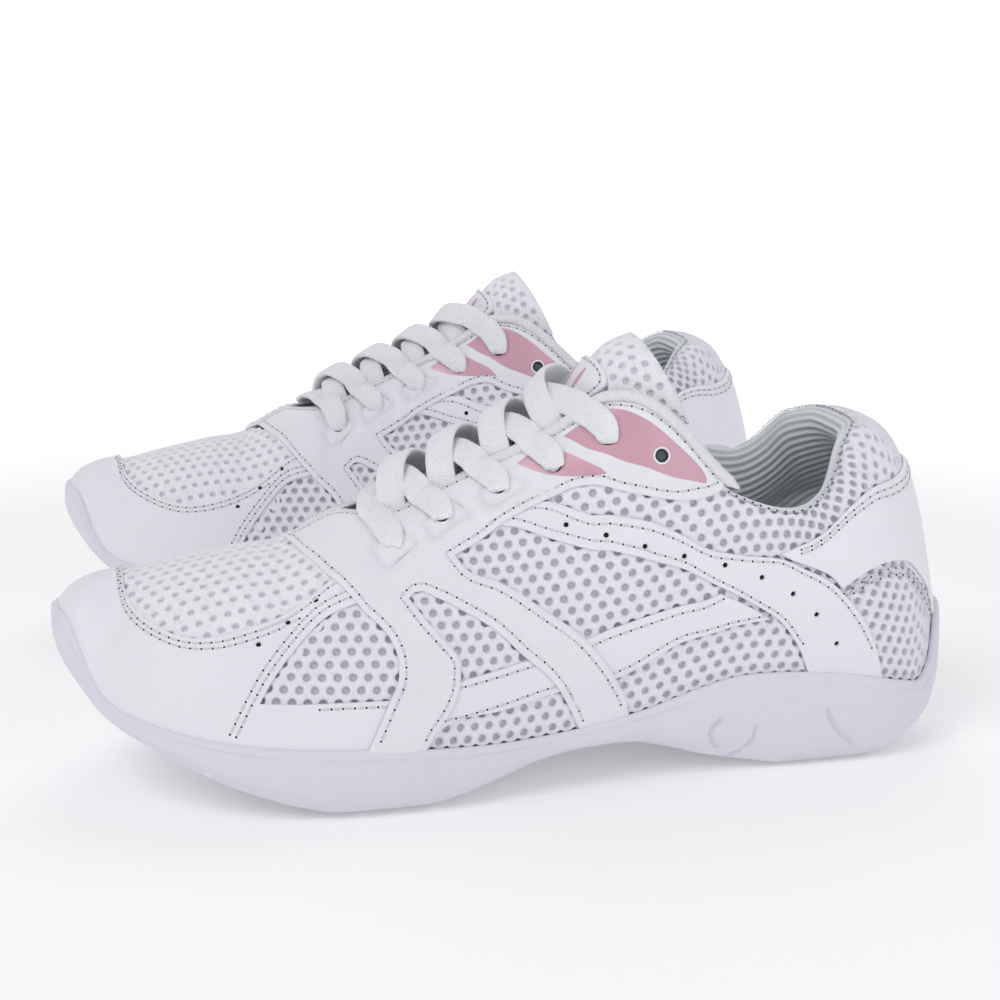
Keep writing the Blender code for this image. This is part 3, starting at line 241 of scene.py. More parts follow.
def quarter_top(s): return np.interp(s, [0, .295, .345, .40, 1], [1, 1, .80, .70, .70])
CAP_TOP = [(.640,.70),(.66,.667),(.677,.642),(.708,.583),(.743,.533),(.785,.483),(.81,.475),(.843,.508),(.87,.567),(.905,.675),(.94,.80),(.97,.89),(1.0,.92)]
CAP_LEG = [(.758,.07),(.743,.225),(.728,.342),(.71,.433),(.685,.517),(.657,.552),(.635,.585)]
BAND_TOP = [(.52,.77),(.473,.733),(.427,.617),(.385,.595),(.345,.60),(.30,.64),(.26,.667),(.225,.585),(.20,.483),(.173,.30),(.158,.158)]
BAND_LOW = [(.228,.04),(.24,.208),(.26,.35),(.29,.433),(.325,.487),(.383,.490),(.427,.525),(.47,.615),(.508,.70),(.535,.735)]
STRIP_TOP = [(.7385,.233),(.69,.233),(.63,.233),(.562,.275),(.497,.303),(.443,.315),(.385,.395),(.332,.472)]
STRIP_LOW = [(.2675,.353),(.34,.268),(.413,.167),(.44,.165),(.468,.178),(.52,.158),(.578,.125)]
WING_LOW = [(.56,.667),(.532,.690),(.512,.712),(.465,.733),(.45,.733),(.435,.717),(.413,.675),(.385,.667),(.352,.717),(.333,.817),(.318,.93)]
ARM1_F = [(.715,.985),(.70,.833),(.688,.75),(.675,.667),(.652,.558),(.623,.433),(.618,.367),(.62,.292),(.628,.233),(.64,.125)]
ARM1_R = [(.588,.108),(.578,.158),(.565,.255),(.562,.333),(.575,.408),(.59,.483),(.605,.575)]
ARM2_F = [(.605,.575),(.598,.592),(.58,.55),(.555,.483),(.527,.408),(.50,.308),(.475,.217),(.46,.125)]
ARM2_R = [(.404,.085),(.415,.167),(.43,.25),(.445,.317),(.482,.433),(.517,.533),(.552,.617),(.56,.667)]
PINK_BIG = [(.450,.935),(.43,.945),(.408,.945),(.385,.925),(.357,.912),(.336,.918),(.334,.888),(.343,.833),(.36,.775),(.378,.755),(.397,.755),(.413,.772),(.432,.83)]
PINK_SMALL = [(.492,.917),(.478,.935),(.462,.905),(.44,.81),(.420,.725),(.445,.765),(.47,.83)]
EYELETS = [(.615,.80),(.568,.833),(.512,.85),(.46,.842),(.417,.842),(.372,.817)]
def grow(poly, mm):
    P = np.array(poly)*SCALE; c = P.mean(0); d = P-c
    return [tuple(x) for x in (P + d/np.linalg.norm(d, axis=1, keepdims=True)*mm)/SCALE]
HEEL_TOP = [(.2575,.690),(.233,.735),(.173,.733),(.12,.69),(.07,.625),(.03,.60),(0,.595)]
HEEL_BAND = [(.2575,.690),(.222,.60),(.196,.493),(.188,.43)]
HEEL_LOW = [(.188,.43),(.158,.437),(.12,.427),(.098,.40),(.08,.317),(.055,.16)]
def both(c): return np.concatenate([-c[::-1], c[1:]])
def lift_v(t, v):
    a = np.abs(t); return np.where(t <= 0, 1, 0)*(v*(1-rim_v(-1, a.ravel(), .6).reshape(a.shape))+rim_v(-1, a.ravel(), .6).reshape(a.shape)) + np.where(t > 0, 1, 0)*(v*(1-rim_v(1, a.ravel(), .6).reshape(a.shape))+rim_v(1, a.ravel(), .6).reshape(a.shape))
def heel_grid(ts, rows, off):
    T, W = np.meshgrid(ts, rows, indexing="ij"); W = lift_v(T, W*quarter_top(np.abs(T)))
    return last("heel", T, W, off(T, W) if callable(off) else off).reshape(-1, 3)
def pad_depth(s, v): return 6.2*np.clip(np.sin(np.clip((v-.54)/.52, 0, 1)*math.pi)**0.55, 0, 1)*np.clip((.31-s)/.05, .25, 1)
def lining_off(t, v):
    s = np.abs(t); w = np.clip((.385-s)/.05, 0, 1)
    return INSIDE - 1.8*w - w*np.where(v > .5, pad_depth(np.minimum(s, .29), np.clip(v, .5, 1)), 0)
T_LINE = [(198,62.5),(192,65),(186,68),(180,70.5),(171,73.5),(158,79),(141,86),(127,94.6),(119,105),(114,116.5),(107,125)]
T_HALF = [14,17,19,20,19,17,15,15,18,21,19]; T_RAD = 26.5; T_THICK = 5.5
def tongue(u, w, depth):
    """u 0..1 from the base, w -1..1 across, depth below the face."""
    L_ = np.array(T_LINE, float); c = chord(L_)/chord(L_)[-1]
    p = hermite(c, L_, u); q = hermite(c, L_, np.clip(u+.01, 0, 1))-hermite(c, L_, np.clip(u-.01, 0, 1)); q /= np.linalg.norm(q, axis=-1, keepdims=True)
    nrm = np.stack([-q[..., 1], q[..., 0]], -1); nrm *= np.sign(nrm[..., 1:2]+1e-9)
    hw = hermite(c, np.array(T_HALF, float), u); r = T_RAD-depth
    th = w*hw/T_RAD
    a = p[..., 0] + nrm[..., 0]*(r*np.cos(th)-T_RAD); z = p[..., 1] + nrm[..., 1]*(r*np.cos(th)-T_RAD)
    return np.stack([a, r*np.sin(th), z], -1)
# ---- making meshes ----
def area2(Q): return 0.5*float(np.sum(Q[:, 0]*np.roll(Q[:, 1], -1) - np.roll(Q[:, 0], -1)*Q[:, 1]))
def signed_volume(P, groups):
    v = 0.0
    for g, _ in groups:
        for k in range(1, g.shape[1]-1):
            a, b, c = P[g[:, 0]], P[g[:, k]], P[g[:, k+1]]; v += float(np.sum(a*np.cross(b, c)))/6
    return v
def fill_mesh(name, P, groups, mats, pat=None):
    groups = [(np.asarray(g, np.int64), k) for g, k in groups if len(g)]
    me = bpy.data.meshes.new(name)
    me.vertices.add(len(P)); me.vertices.foreach_set("co", np.asarray(P, np.float32).ravel())
    nl = sum(g.size for g, _ in groups); npoly = sum(len(g) for g, _ in groups)
    me.loops.add(nl); me.polygons.add(npoly)
    me.loops.foreach_set("vertex_index", np.concatenate([g.ravel() for g, _ in groups]).astype(np.int32))
    sizes = np.concatenate([np.full(len(g), g.shape[1]) for g, _ in groups])
    me.polygons.foreach_set("loop_start", np.concatenate([[0], np.cumsum(sizes)[:-1]]).astype(np.int32))
    me.polygons.foreach_set("material_index", np.concatenate([np.full(len(g), k) for g, k in groups]).astype(np.int32))
    for m in mats: me.materials.append(m)
    me.update(calc_edges=True); me.validate()
    me.shade_smooth()
    if pat is not None and len(pat) == len(me.vertices):
        at = me.attributes.new("pat", "FLOAT_VECTOR", "POINT"); at.data.foreach_set("vector", np.asarray(pat, np.float32).ravel())
    return me
def drop_flat(P, groups):
    out = []
    for g, k in groups:
        g = np.asarray(g, np.int64)
        if not len(g): continue
        if g.shape[1] <= 4:
            a, b, c = P[g[:, 0]], P[g[:, 1]], P[g[:, 2]]; ar = np.linalg.norm(np.cross(b-a, c-a), axis=1)
            if g.shape[1] == 4: ar = ar + np.linalg.norm(np.cross(c-a, P[g[:, 3]]-a), axis=1)
            g = g[ar > 1e-5]
        out.append((g, k))
    return out
def emit(piece, P, groups, mats, nodes=(), body="shoe", slot=None, pat=None, sharp=None, orient=True):
    """One piece for each shoe. P in shoe millimetres, groups of (faces, material index)."""
    P = np.asarray(P, float); groups = drop_flat(P, groups)
    if orient and signed_volume(P, groups) < 0: groups = [(g[:, ::-1], k) for g, k in groups]
    made = []
    for right in (False, True):
        pre = "right_" if right else "left_"
        W = world(P, right)
        gs = groups if right else [(g[:, ::-1], k) for g, k in groups]
        me = fill_mesh(pre+piece, W, gs, mats, pat)
        if sharp: me.set_sharp_from_angle(angle=math.radians(sharp))
        ob = bpy.data.objects.new(pre+piece+"_look", me); bpy.context.scene.collection.objects.link(ob)
        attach(ob, pre+body)
        for n in nodes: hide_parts(pre+n)
        made.append(ob)
    return made
class Parts:
    """Collects bodies that end up in one mesh."""
    def __init__(self): self.P, self.G, self.T, self.n = [], [], [], 0
    def add(self, P, groups, pat=None):
        P = np.asarray(P, float)
        groups = drop_flat(P, groups)
        if signed_volume(P, groups) < 0: groups = [(g[:, ::-1], k) for g, k in groups]
        self.P.append(P); self.G += [(g+self.n, k) for g, k in groups]
        self.T.append(np.zeros_like(P) if pat is None else np.asarray(pat, float)); self.n += len(P)
    def emit(self, piece, mats, **kw):
        if self.n: return emit(piece, np.concatenate(self.P), self.G, mats, pat=np.concatenate(self.T), orient=False, **kw)

def quads(nu, nv, base=0, wrap_v=False):
    i, j = np.meshgrid(np.arange(nu-1), np.arange(nv if wrap_v else nv-1), indexing="ij"); i, j = i.ravel(), j.ravel(); k = (j+1) % nv
    return np.stack([base+i*nv+j, base+(i+1)*nv+j, base+(i+1)*nv+k, base+i*nv+k], -1)
def closed_grid(A, B):
    """Closed body between two grids (nu, nv, 3)."""
    nu, nv = A.shape[:2]; n = nu*nv
    ring = [i*nv for i in range(nu)] + [(nu-1)*nv+j for j in range(1, nv)] + [i*nv+nv-1 for i in range(nu-2, -1, -1)] + [j for j in range(nv-2, 0, -1)]
    r = np.array(ring); q = np.roll(r, -1)
    return np.concatenate([A.reshape(-1, 3), B.reshape(-1, 3)]), [(quads(nu, nv), 0), (quads(nu, nv, n)[:, ::-1], 0), (np.stack([q, r, r+n, q+n], -1), 0)]
def tube(C, U, Wd, ru, rw, K=10, power=1.0, caps=True, phase=0.0):
    """Tube along C with half axes ru along U and rw along Wd (arrays per station)."""
    a = 2*np.pi*(np.arange(K)+phase)/K; ca, sa = np.cos(a), np.sin(a)
    ca = np.sign(ca)*np.abs(ca)**power; sa = np.sign(sa)*np.abs(sa)**power
    P = C[:, None]+U[:, None]*(np.asarray(ru)*np.ones(len(C)))[:, None, None]*ca[None, :, None]+Wd[:, None]*(np.asarray(rw)*np.ones(len(C)))[:, None, None]*sa[None, :, None]
    G = [(quads(len(C), K, 0, True), 0)]
    if caps: G += [(np.arange(K)[None], 0), ((len(C)-1)*K+np.arange(K)[None, ::-1], 0)]
    L = np.concatenate([[0], np.cumsum(np.linalg.norm(np.diff(C, axis=0), axis=1))])
    T = np.stack([np.repeat(L, K), np.tile(ca, len(C))*np.repeat(np.asarray(ru)*np.ones(len(C)), K), np.tile(sa, len(C))], -1)
    return P.reshape(-1, 3), G, T
def unit(v): return v/np.maximum(np.linalg.norm(v, axis=-1, keepdims=True), 1e-9)
def smooth_to(P, n, extra=()):
    """Points along a smooth curve through P, evenly spaced, with side arrays carried along."""
    P = np.asarray(P, float); c = chord(P); x = np.linspace(0, c[-1], n*4); d = hermite(c, P, x); l = chord(d)
    xs = np.interp(np.linspace(0, l[-1], n), l, x)
    return hermite(c, P, xs), [hermite(c, np.asarray(e, float), xs) for e in extra]
def lastn(mode, s, v, off=0.0):
    """Point and normal on the last."""
    s, v = np.broadcast_arrays(np.asarray(s, float), np.asarray(v, float)); off = np.broadcast_to(np.asarray(off, float), s.shape)
    P = last(mode, s, v, np.zeros(s.shape)); N = last(mode, s, v, np.ones(s.shape))-P
    return P+N*off[..., None], N

# ---- arc length tables of each side, for laying a knit out evenly ----
LS = 300.0
class Chart:
    def __init__(self, sg):
        self.s = np.linspace(0, 1, 251); self.v = np.linspace(0, 1, 81)
        P = upper(sg, self.s[:, None], self.v[None]); d = np.linalg.norm(np.diff(P, axis=1), axis=2)
        A = np.concatenate([np.zeros((251, 1)), np.cumsum(d, axis=1)], 1); self.L = A[:, -1]
        q = np.linspace(0, 1, 81); self.q = q
        self.W = np.array([np.interp(q*A[i, -1], A[i], self.v) for i in range(251)])
        self.Q = np.array([A[i]/A[i, -1] for i in range(251)])
    def height(self, s): return np.interp(s, self.s, self.L)
    def _look(self, T, s, q):
        x = np.clip(np.asarray(s)*250, 0, 249.9999); y = np.clip(np.asarray(q)*80, 0, 79.9999); i, j = x.astype(int), y.astype(int); fx, fy = x-i, y-j
        return T[i, j]*(1-fx)*(1-fy)+T[i+1, j]*fx*(1-fy)+T[i, j+1]*(1-fx)*fy+T[i+1, j+1]*fx*fy
    def v_of(self, s, y): return self._look(self.W, s, y/self.height(s))
    def y_of(self, s, v): return self._look(self.Q, s, v)*self.height(s)
CHART = {-1: Chart(-1), 1: Chart(1)}

# ---- cloth simulation of the padded pieces ----
def puff(P, faces, pinned, cap, pressure=4.0):
    """Inflates a closed body held at its pinned vertices; P in shoe millimetres. No point moves further than cap."""
    P = np.asarray(P, float)
    me = bpy.data.meshes.new("pad_sim"); me.from_pydata([tuple(p) for p in P/1000], [], [list(map(int, f)) for f in faces]); me.update()
    ob = bpy.data.objects.new("pad_sim", me); bpy.context.scene.collection.objects.link(ob)
    bm = bmesh.new(); bm.from_mesh(me); bmesh.ops.recalc_face_normals(bm, faces=bm.faces)
    if bm.calc_volume(signed=True) < 0: bmesh.ops.reverse_faces(bm, faces=bm.faces)
    bm.to_mesh(me); bm.free()
    g = ob.vertex_groups.new(name="pin"); g.add([int(i) for i in pinned], 1.0, "REPLACE")
    m = ob.modifiers.new("cloth", "CLOTH"); c = m.settings
    c.quality = 6; c.mass = 0.25; c.tension_stiffness = c.compression_stiffness = 12; c.shear_stiffness = 6; c.bending_stiffness = 0.4
    c.use_pressure = True; c.uniform_pressure_force = pressure; c.vertex_group_mass = "pin"; c.effector_weights.gravity = 0.0
    m.collision_settings.use_collision = False
    m.point_cache.frame_start = 1; m.point_cache.frame_end = 20
    sc = bpy.context.scene
    for f in range(1, 21): sc.frame_set(f)
    ev = ob.evaluated_get(bpy.context.evaluated_depsgraph_get()); co = np.zeros(len(P)*3, np.float32); ev.data.vertices.foreach_get("co", co)
    Q = co.reshape(-1, 3)*1000.0
    sc.frame_set(1); bpy.data.objects.remove(ob, do_unlink=True)
    d = Q-P; l = np.linalg.norm(d, axis=1, keepdims=True); d *= np.minimum(1, cap/np.maximum(l, 1e-9))
    return P+np.where(np.isfinite(d), d, 0)
def relax(D, n=2):
    for _ in range(n):
        E = D.copy(); E[1:-1] = (D[:-2]+D[2:]+2*D[1:-1])/4; D = E.copy(); D[:, 1:-1] = (E[:, :-2]+E[:, 2:]+2*E[:, 1:-1])/4
    return D
def table2(x, y, T):
    def f(a, b):
        a = np.clip(np.interp(a, x, np.arange(len(x))), 0, len(x)-1.001); b = np.clip(np.interp(b, y, np.arange(len(y))), 0, len(y)-1.001)
        i, j = a.astype(int), b.astype(int); p, q = a-i, b-j
        return T[i, j]*(1-p)*(1-q)+T[i+1, j]*p*(1-q)+T[i, j+1]*(1-p)*q+T[i+1, j+1]*p*q
    return f
# collar foam: swells between the outer knit and the lining, held along its two edges
PT = both(np.linspace(0, .305, 34)); PV = np.linspace(.50, .90, 14)
def foam_faces(off): return heel_grid(PT, PV, off).reshape(len(PT), len(PV), 3)
fo, fi = foam_faces(INSIDE+.3), foam_faces(lambda t, v: INSIDE-1.0-pad_depth(np.abs(t), v))
FP, FG = closed_grid(fo, fi); n_ = len(PT)*len(PV)
pins = [i*len(PV)+j+k*n_ for i in range(len(PT)) for j in range(len(PV)) for k in (0, 1) if j in (0, len(PV)-1) or i in (0, len(PT)-1)]
FQ = puff(FP, [f for g, _ in FG for f in g], pins, 2.6)
_, No = lastn("heel", *np.meshgrid(PT, PV, indexing="ij"))
D_OUT = relax(np.sum((FQ[:n_]-FP[:n_]).reshape(No.shape)*No, -1), 1); D_IN = relax(-np.sum((FQ[n_:]-FP[n_:]).reshape(No.shape)*No, -1), 1)
D_OUT = np.clip(D_OUT, 0, 2.6); D_IN = np.clip(D_IN, 0, 2.6)
swell_out, swell_in = table2(PT, PV, D_OUT), table2(PT, PV, D_IN)
# the tongue's face as the photo shows it: it runs on past the laces and its sides hang back inside the collar
T_BASE_LINE, T_BASE_HALF = np.array(T_LINE, float), np.array(T_HALF, float)
T_LINE = [(198,62.5),(192,65),(186,68),(180,70.5),(171,73.5),(158,79),(141,86),(127,94.6),(119,105),(112.5,115.5),(106,122.6),(98.5,125.6)]
T_HALF = [14,17,19,20,19,17,15,15.5,19,25,31,34]
EAR_U, EAR_A, EAR_Y, EAR_Z = [.62, .70, .80, .90, 1.0], [130, 119, 107, 96, 86], [13.6, 15.0, 16.6, 18.9, 19.6], [86.5, 92.5, 98.0, 100.0, 100.5]
def tongue(u, w, depth):
    """u 0..1 from the base, w -1..1 across, depth below the face."""
    u, w, depth = np.broadcast_arrays(np.asarray(u, float), np.asarray(w, float), np.asarray(depth, float))
    L_ = np.array(T_LINE, float); c = chord(L_)/chord(L_)[-1]; H_ = np.array(T_HALF, float)
    def face(u, w):
        p = hermite(c, L_, u); q = hermite(c, L_, np.clip(u+.01, 0, 1))-hermite(c, L_, np.clip(u-.01, 0, 1)); q /= np.linalg.norm(q, axis=-1, keepdims=True)
        nrm = np.stack([-q[..., 1], q[..., 0]], -1); nrm *= np.sign(nrm[..., 1:2]+1e-9)
        th = w*np.minimum(hermite(c, H_, u), 20.0)/T_RAD
        A = np.stack([p[..., 0]+nrm[..., 0]*T_RAD*(np.cos(th)-1), T_RAD*np.sin(th), p[..., 1]+nrm[..., 1]*T_RAD*(np.cos(th)-1)], -1)
        sd = np.where(w < 0, -1.0, 1.0); t = np.abs(w); E = np.stack([np.interp(u, EAR_U, EAR_A), np.interp(u, EAR_U, EAR_Y)*sd, np.interp(u, EAR_U, EAR_Z)], -1)
        R = np.stack([p[..., 0], 0*u, p[..., 1]], -1); drop = np.clip(R[..., 2]-E[..., 2], 0, 40)
        C1 = R+np.stack([-.6+0*u, 12.5*sd, 0*u], -1); C2 = E+np.stack([5.5+0*u, 1.2*sd, drop*.55], -1); t = t[..., None]
        B = (1-t)**3*R+3*(1-t)**2*t*C1+3*(1-t)*t*t*C2+t**3*E
        k = np.clip((u-.66)/.22, 0, 1); k = (k*k*(3-2*k))[..., None]
        return A*(1-k)+B*k
    P = face(u, w); e = 2e-3
    du = face(np.clip(u+e, 0, 1), w)-face(np.clip(u-e, 0, 1), w); dw = face(u, np.clip(w+e, -1, 1))-face(u, np.clip(w-e, -1, 1)); n = unit(np.cross(du, dw)); n = n*np.sign(np.cross(du, dw)[..., 2:3]+np.cross(du, dw)[..., 0:1]*.35+1e-12)
    return P-n*depth[..., None]
# tongue: padded between its bound edges
TU, TW = np.linspace(0, 1, 50), np.linspace(-1, 1, 27)
def tongue_pad(U, W): return 1.6+(T_THICK-1.6)*np.clip((1-np.abs(W))/.3, 0, 1)**.5*np.clip((1-U)/.06, .3, 1)*np.clip(U/.08+.3, 0, 1)
UU, WW = np.meshgrid(TU, TW, indexing="ij")
ta, tb = tongue(UU, WW, 0*UU+.4), tongue(UU, WW, tongue_pad(UU, WW))
TP, TG = closed_grid(ta, tb); nt_ = len(TU)*len(TW)
TNF = unit(tongue(UU, WW, -1+0*UU)-tongue(UU, WW, 0*UU))
pins = [i*len(TW)+j+k*nt_ for i in range(len(TU)) for j in range(len(TW)) for k in (0, 1) if j in (0, len(TW)-1) or i in (0, len(TU)-1) or TU[i] < .70]
TQ = puff(TP, [f for g, _ in TG for f in g], pins, 3.2)
T_OUT = np.clip(relax(np.sum((TQ[:nt_]-TP[:nt_]).reshape(TNF.shape)*TNF, -1), 1), 0, 3.2); T_IN = np.clip(relax(-np.sum((TQ[nt_:]-TP[nt_:]).reshape(TNF.shape)*TNF, -1), 1), 0, 3.2)
tongue_out, tongue_in = table2(TU, TW, T_OUT), table2(TU, TW, T_IN)

# ---- outlines of the panels on one side, and what they cover ----
def rim_of(sg, s, lift=-.7): return float(rim_v(sg, s, lift)[0])
def foot(sg, s0, s1, n): return along_rim(sg, s0, s1, n, -.7)
def cap_side(sg):
    r = [(q, float(rim_v(sg, q, -.8)[0])) for q in np.linspace(.758, 1.0, 30)]
    return r
def outline(curves): return resample(curves, 2.0)/SCALE
def band_curves(sg):
    bt = BAND_TOP+[(.150, rim_of(sg, .150))]; bl = [(.228, rim_of(sg, .228))]+BAND_LOW[1:]
    return [bt, foot(sg, .150, .228, 5), bl, [bl[-1], bt[0]]]
STRIP_UP = STRIP_TOP[1:3]+[(.562,.275),(.497,.297),(.450,.306),(.405,.318),(.373,.346),(.340,.396),(.318,.452)]
def strip_curves(sg):
    e0 = (.7635, rim_of(sg, .7635))
    return [[e0, (.7450, .233)], [(.7450, .233)]+STRIP_UP, [STRIP_UP[-1], (.290,.410), STRIP_LOW[0]], STRIP_LOW+[(.60, rim_of(sg, .60)+.01)], foot(sg, .61, .7635, 9)]
THROAT = [(.316,.985),(.36,.990),(.40,.990),(.43,.990),(.50,.992),(.56,.992),(.62,.992),(.67,.990),(.715,.985)]
def stay_curves(sg):
    a1 = ARM1_F+[(.65, rim_of(sg, .65))]; a1r = [(.597, rim_of(sg, .597))]+ARM1_R; a2 = ARM2_F+[(.449, rim_of(sg, .449))]; a2r = [(.401, rim_of(sg, .401))]+ARM2_R
    return [a1, foot(sg, .65, .597, 5), a1r, a2, foot(sg, .449, .401, 5), a2r, WING_LOW, [WING_LOW[-1], THROAT[0]], THROAT]
def cap_curves():
    rl, rm = cap_side(-1), cap_side(1); leg = [rl[0]]+CAP_LEG[1:]; legm = [rm[0]]+CAP_LEG[1:]
    return [rl+mirror(rm)[1:], over_toe(legm), [(2-.635,.585),(2-.640,.70)], over_toe(CAP_TOP)+CAP_TOP[::-1][1:], [(.640,.70),(.635,.585)], leg[::-1]]
def heel_curves():
    hl, hm = foot(-1, .045, 0, 5), foot(1, .045, 0, 5)
    return [HEEL_TOP+neg(HEEL_TOP)[1:], neg(HEEL_BAND)[::-1], neg(HEEL_LOW)[::-1]+[(-.045, hl[0][1])],
            [(-s, v) for s, v in hl]+[(s, v) for s, v in hm[::-1]][1:], [(.045, hm[0][1])]+HEEL_LOW[::-1], HEEL_BAND[::-1]]
GS, GV = np.linspace(0, 1, 601), np.linspace(0, 1, 151)
GXY = np.stack(np.meshgrid(GS, GV, indexing="ij"), -1).reshape(-1, 2)
def raster(poly): return inside(np.asarray(poly)*SCALE, GXY*SCALE).reshape(601, 151)
def spread(M, n):
    for _ in range(n):
        E = M.copy(); E[1:] = np.maximum(E[1:], M[:-1]); E[:-1] = np.maximum(E[:-1], M[1:]); E[:, 1:] = np.maximum(E[:, 1:], M[:, :-1]); E[:, :-1] = np.maximum(E[:, :-1], M[:, 1:]); M = E
    return M
def soften(M, n):
    M = M.astype(float)
    for _ in range(n):
        E = M.copy(); E[1:-1] = (M[:-2]+M[1:-1]+M[2:])/3; M = E.copy(); M[:, 1:-1] = (E[:, :-2]+E[:, 1:-1]+E[:, 2:])/3
    return M
LOW, STAY, COVER, LIFT, SOFT = {}, {}, {}, {}, {}
capo, heelo = outline(cap_curves()), outline(heel_curves())
for sg in (-1, 1):
    cs = capo.copy()
    if sg > 0: cs[:, 0] = 2-cs[:, 0]
    hs = heelo.copy()
    if sg < 0: hs[:, 0] = -hs[:, 0]
    low = raster(cs) | raster(hs) | raster(outline(band_curves(sg))) | raster(outline(strip_curves(sg)))
    st = raster(outline(stay_curves(sg)))
    LOW[sg], STAY[sg] = low, st
    COVER[sg] = low | st
    LIFT[sg] = table2(GS, GV, soften(spread(low, 2), 4)); SOFT[sg] = table2(GS, GV, soften(spread(low | st, 3), 5))
def covered(sg, s, v, table=None):
    T = COVER[sg] if table is None else table[sg]
    i = np.clip(np.rint(np.asarray(s)*600).astype(int), 0, 600); j = np.clip(np.rint(np.asarray(v)*150).astype(int), 0, 150)
    return T[i, j]
KNIT_TOP = .42           # crest of the knit over the shell's face
H1, T1 = .50, 1.0        # first panels
def h2(sg, s, v): return H1 + 1.12*LIFT[sg](s, v)


# ---- materials ----
class Nodes:
    def __init__(self, name):
        self.m = bpy.data.materials.new(name); self.m.use_nodes = True; self.t = self.m.node_tree; self.b = self.t.nodes["Principled BSDF"]
    def n(self, kind, **kw):
        x = self.t.nodes.new(kind)
        for k, v in kw.items():
            if k.startswith("_"): setattr(x, k[1:], v)
            elif hasattr(v, "is_output"): self.t.links.new(v, x.inputs[k.replace("__", " ")])
            else: x.inputs[k.replace("__", " ")].default_value = v
        return x
    def math(self, op, a, b=0.0, c=None):
        x = self.t.nodes.new("ShaderNodeMath"); x.operation = op
        for i, v in enumerate((a, b) if c is None else (a, b, c)):
            if hasattr(v, "is_output"): self.t.links.new(v, x.inputs[i])
            else: x.inputs[i].default_value = v
        return x.outputs[0]
    def ramp(self, fac, stops):
        x = self.t.nodes.new("ShaderNodeValToRGB"); self.t.links.new(fac, x.inputs[0]); e = x.color_ramp.elements
        while len(e) < len(stops): e.new(0.5)
        for k, (p, c) in zip(e, stops): k.position = p; k.color = (*c, 1)
        return x.outputs[0]
    def coords(self): return self.n("ShaderNodeNewGeometry").outputs["Position"]
    def obj(self): return self.n("ShaderNodeTexCoord").outputs["Object"]
    def pat(self):
        a = self.t.nodes.new("ShaderNodeAttribute"); a.attribute_name = "pat"; s = self.t.nodes.new("ShaderNodeSeparateXYZ"); self.t.links.new(a.outputs["Vector"], s.inputs[0]); return a.outputs["Vector"], s.outputs
    def noise(self, vec, scale, detail=3.0, rough=.55):
        x = self.n("ShaderNodeTexNoise", Scale=scale, Detail=detail, Roughness=rough); self.t.links.new(vec, x.inputs["Vector"]); return x.outputs["Fac"]
    def voronoi(self, vec, scale, feature="F1", rand=1.0):
        x = self.n("ShaderNodeTexVoronoi", _feature=feature, Scale=scale, Randomness=rand); self.t.links.new(vec, x.inputs["Vector"]); return x.outputs["Distance"]
    def bump(self, height, dist, strength=1.0, below=None):
        x = self.n("ShaderNodeBump", Strength=strength, Distance=dist, Height=height)
        if below is not None: self.t.links.new(below, x.inputs["Normal"])
        return x.outputs[0]
    def mix(self, fac, a, b):
        x = self.t.nodes.new("ShaderNodeMix"); x.data_type = "RGBA"
        for i, v in ((0, fac), (6, a), (7, b)):
            if hasattr(v, "is_output"): self.t.links.new(v, x.inputs[i])
            else: x.inputs[i].default_value = v if i == 0 else (*v, 1)
        return x.outputs[2]
    def set(self, **kw):
        for k, v in kw.items():
            k = k.replace("__", " ")
            if hasattr(v, "is_output"): self.t.links.new(v, self.b.inputs[k])
            else: self.b.inputs[k].default_value = v
        return self.m
def leather(name, base, shade, grain=1.0):
    N = Nodes(name); o = N.obj()
    big = N.noise(o, 38, 4); fine = N.noise(o, 1500, 3); peb = N.voronoi(o, 1150)
    edge = N.n("ShaderNodeNewGeometry").outputs["Pointiness"]
    col = N.mix(N.math("MULTIPLY", big, .8), shade, base); worn = N.math("MULTIPLY", N.math("SUBTRACT", edge, .515), 9.0); worn = N.math("MINIMUM", N.math("MAXIMUM", worn, 0.0), 1.0)
    col = N.mix(worn, col, (min(base[0]*1.05, 1), min(base[1]*1.05, 1), min(base[2]*1.04, 1)))
    h = N.math("ADD", N.math("MULTIPLY", peb, .8), N.math("MULTIPLY", fine, .6)); nb = N.bump(N.noise(o, 170, 3), .00025, .25); nb = N.bump(h, .00010*grain, .55, nb)
    rough = N.math("ADD", N.math("MULTIPLY", fine, .16), N.math("ADD", .36, N.math("MULTIPLY", big, .14)))
    return N.set(Base__Color=col, Roughness=rough, Normal=nb, Specular__IOR__Level=.42, Sheen__Weight=.06, Subsurface__Weight=.04, Subsurface__Scale=.002)
LEATHER = leather("synthetic_leather_white", (.835, .83, .87), (.795, .788, .835))
LEATHER2 = leather("synthetic_leather_overlay", (.845, .84, .88), (.805, .798, .85), .8)
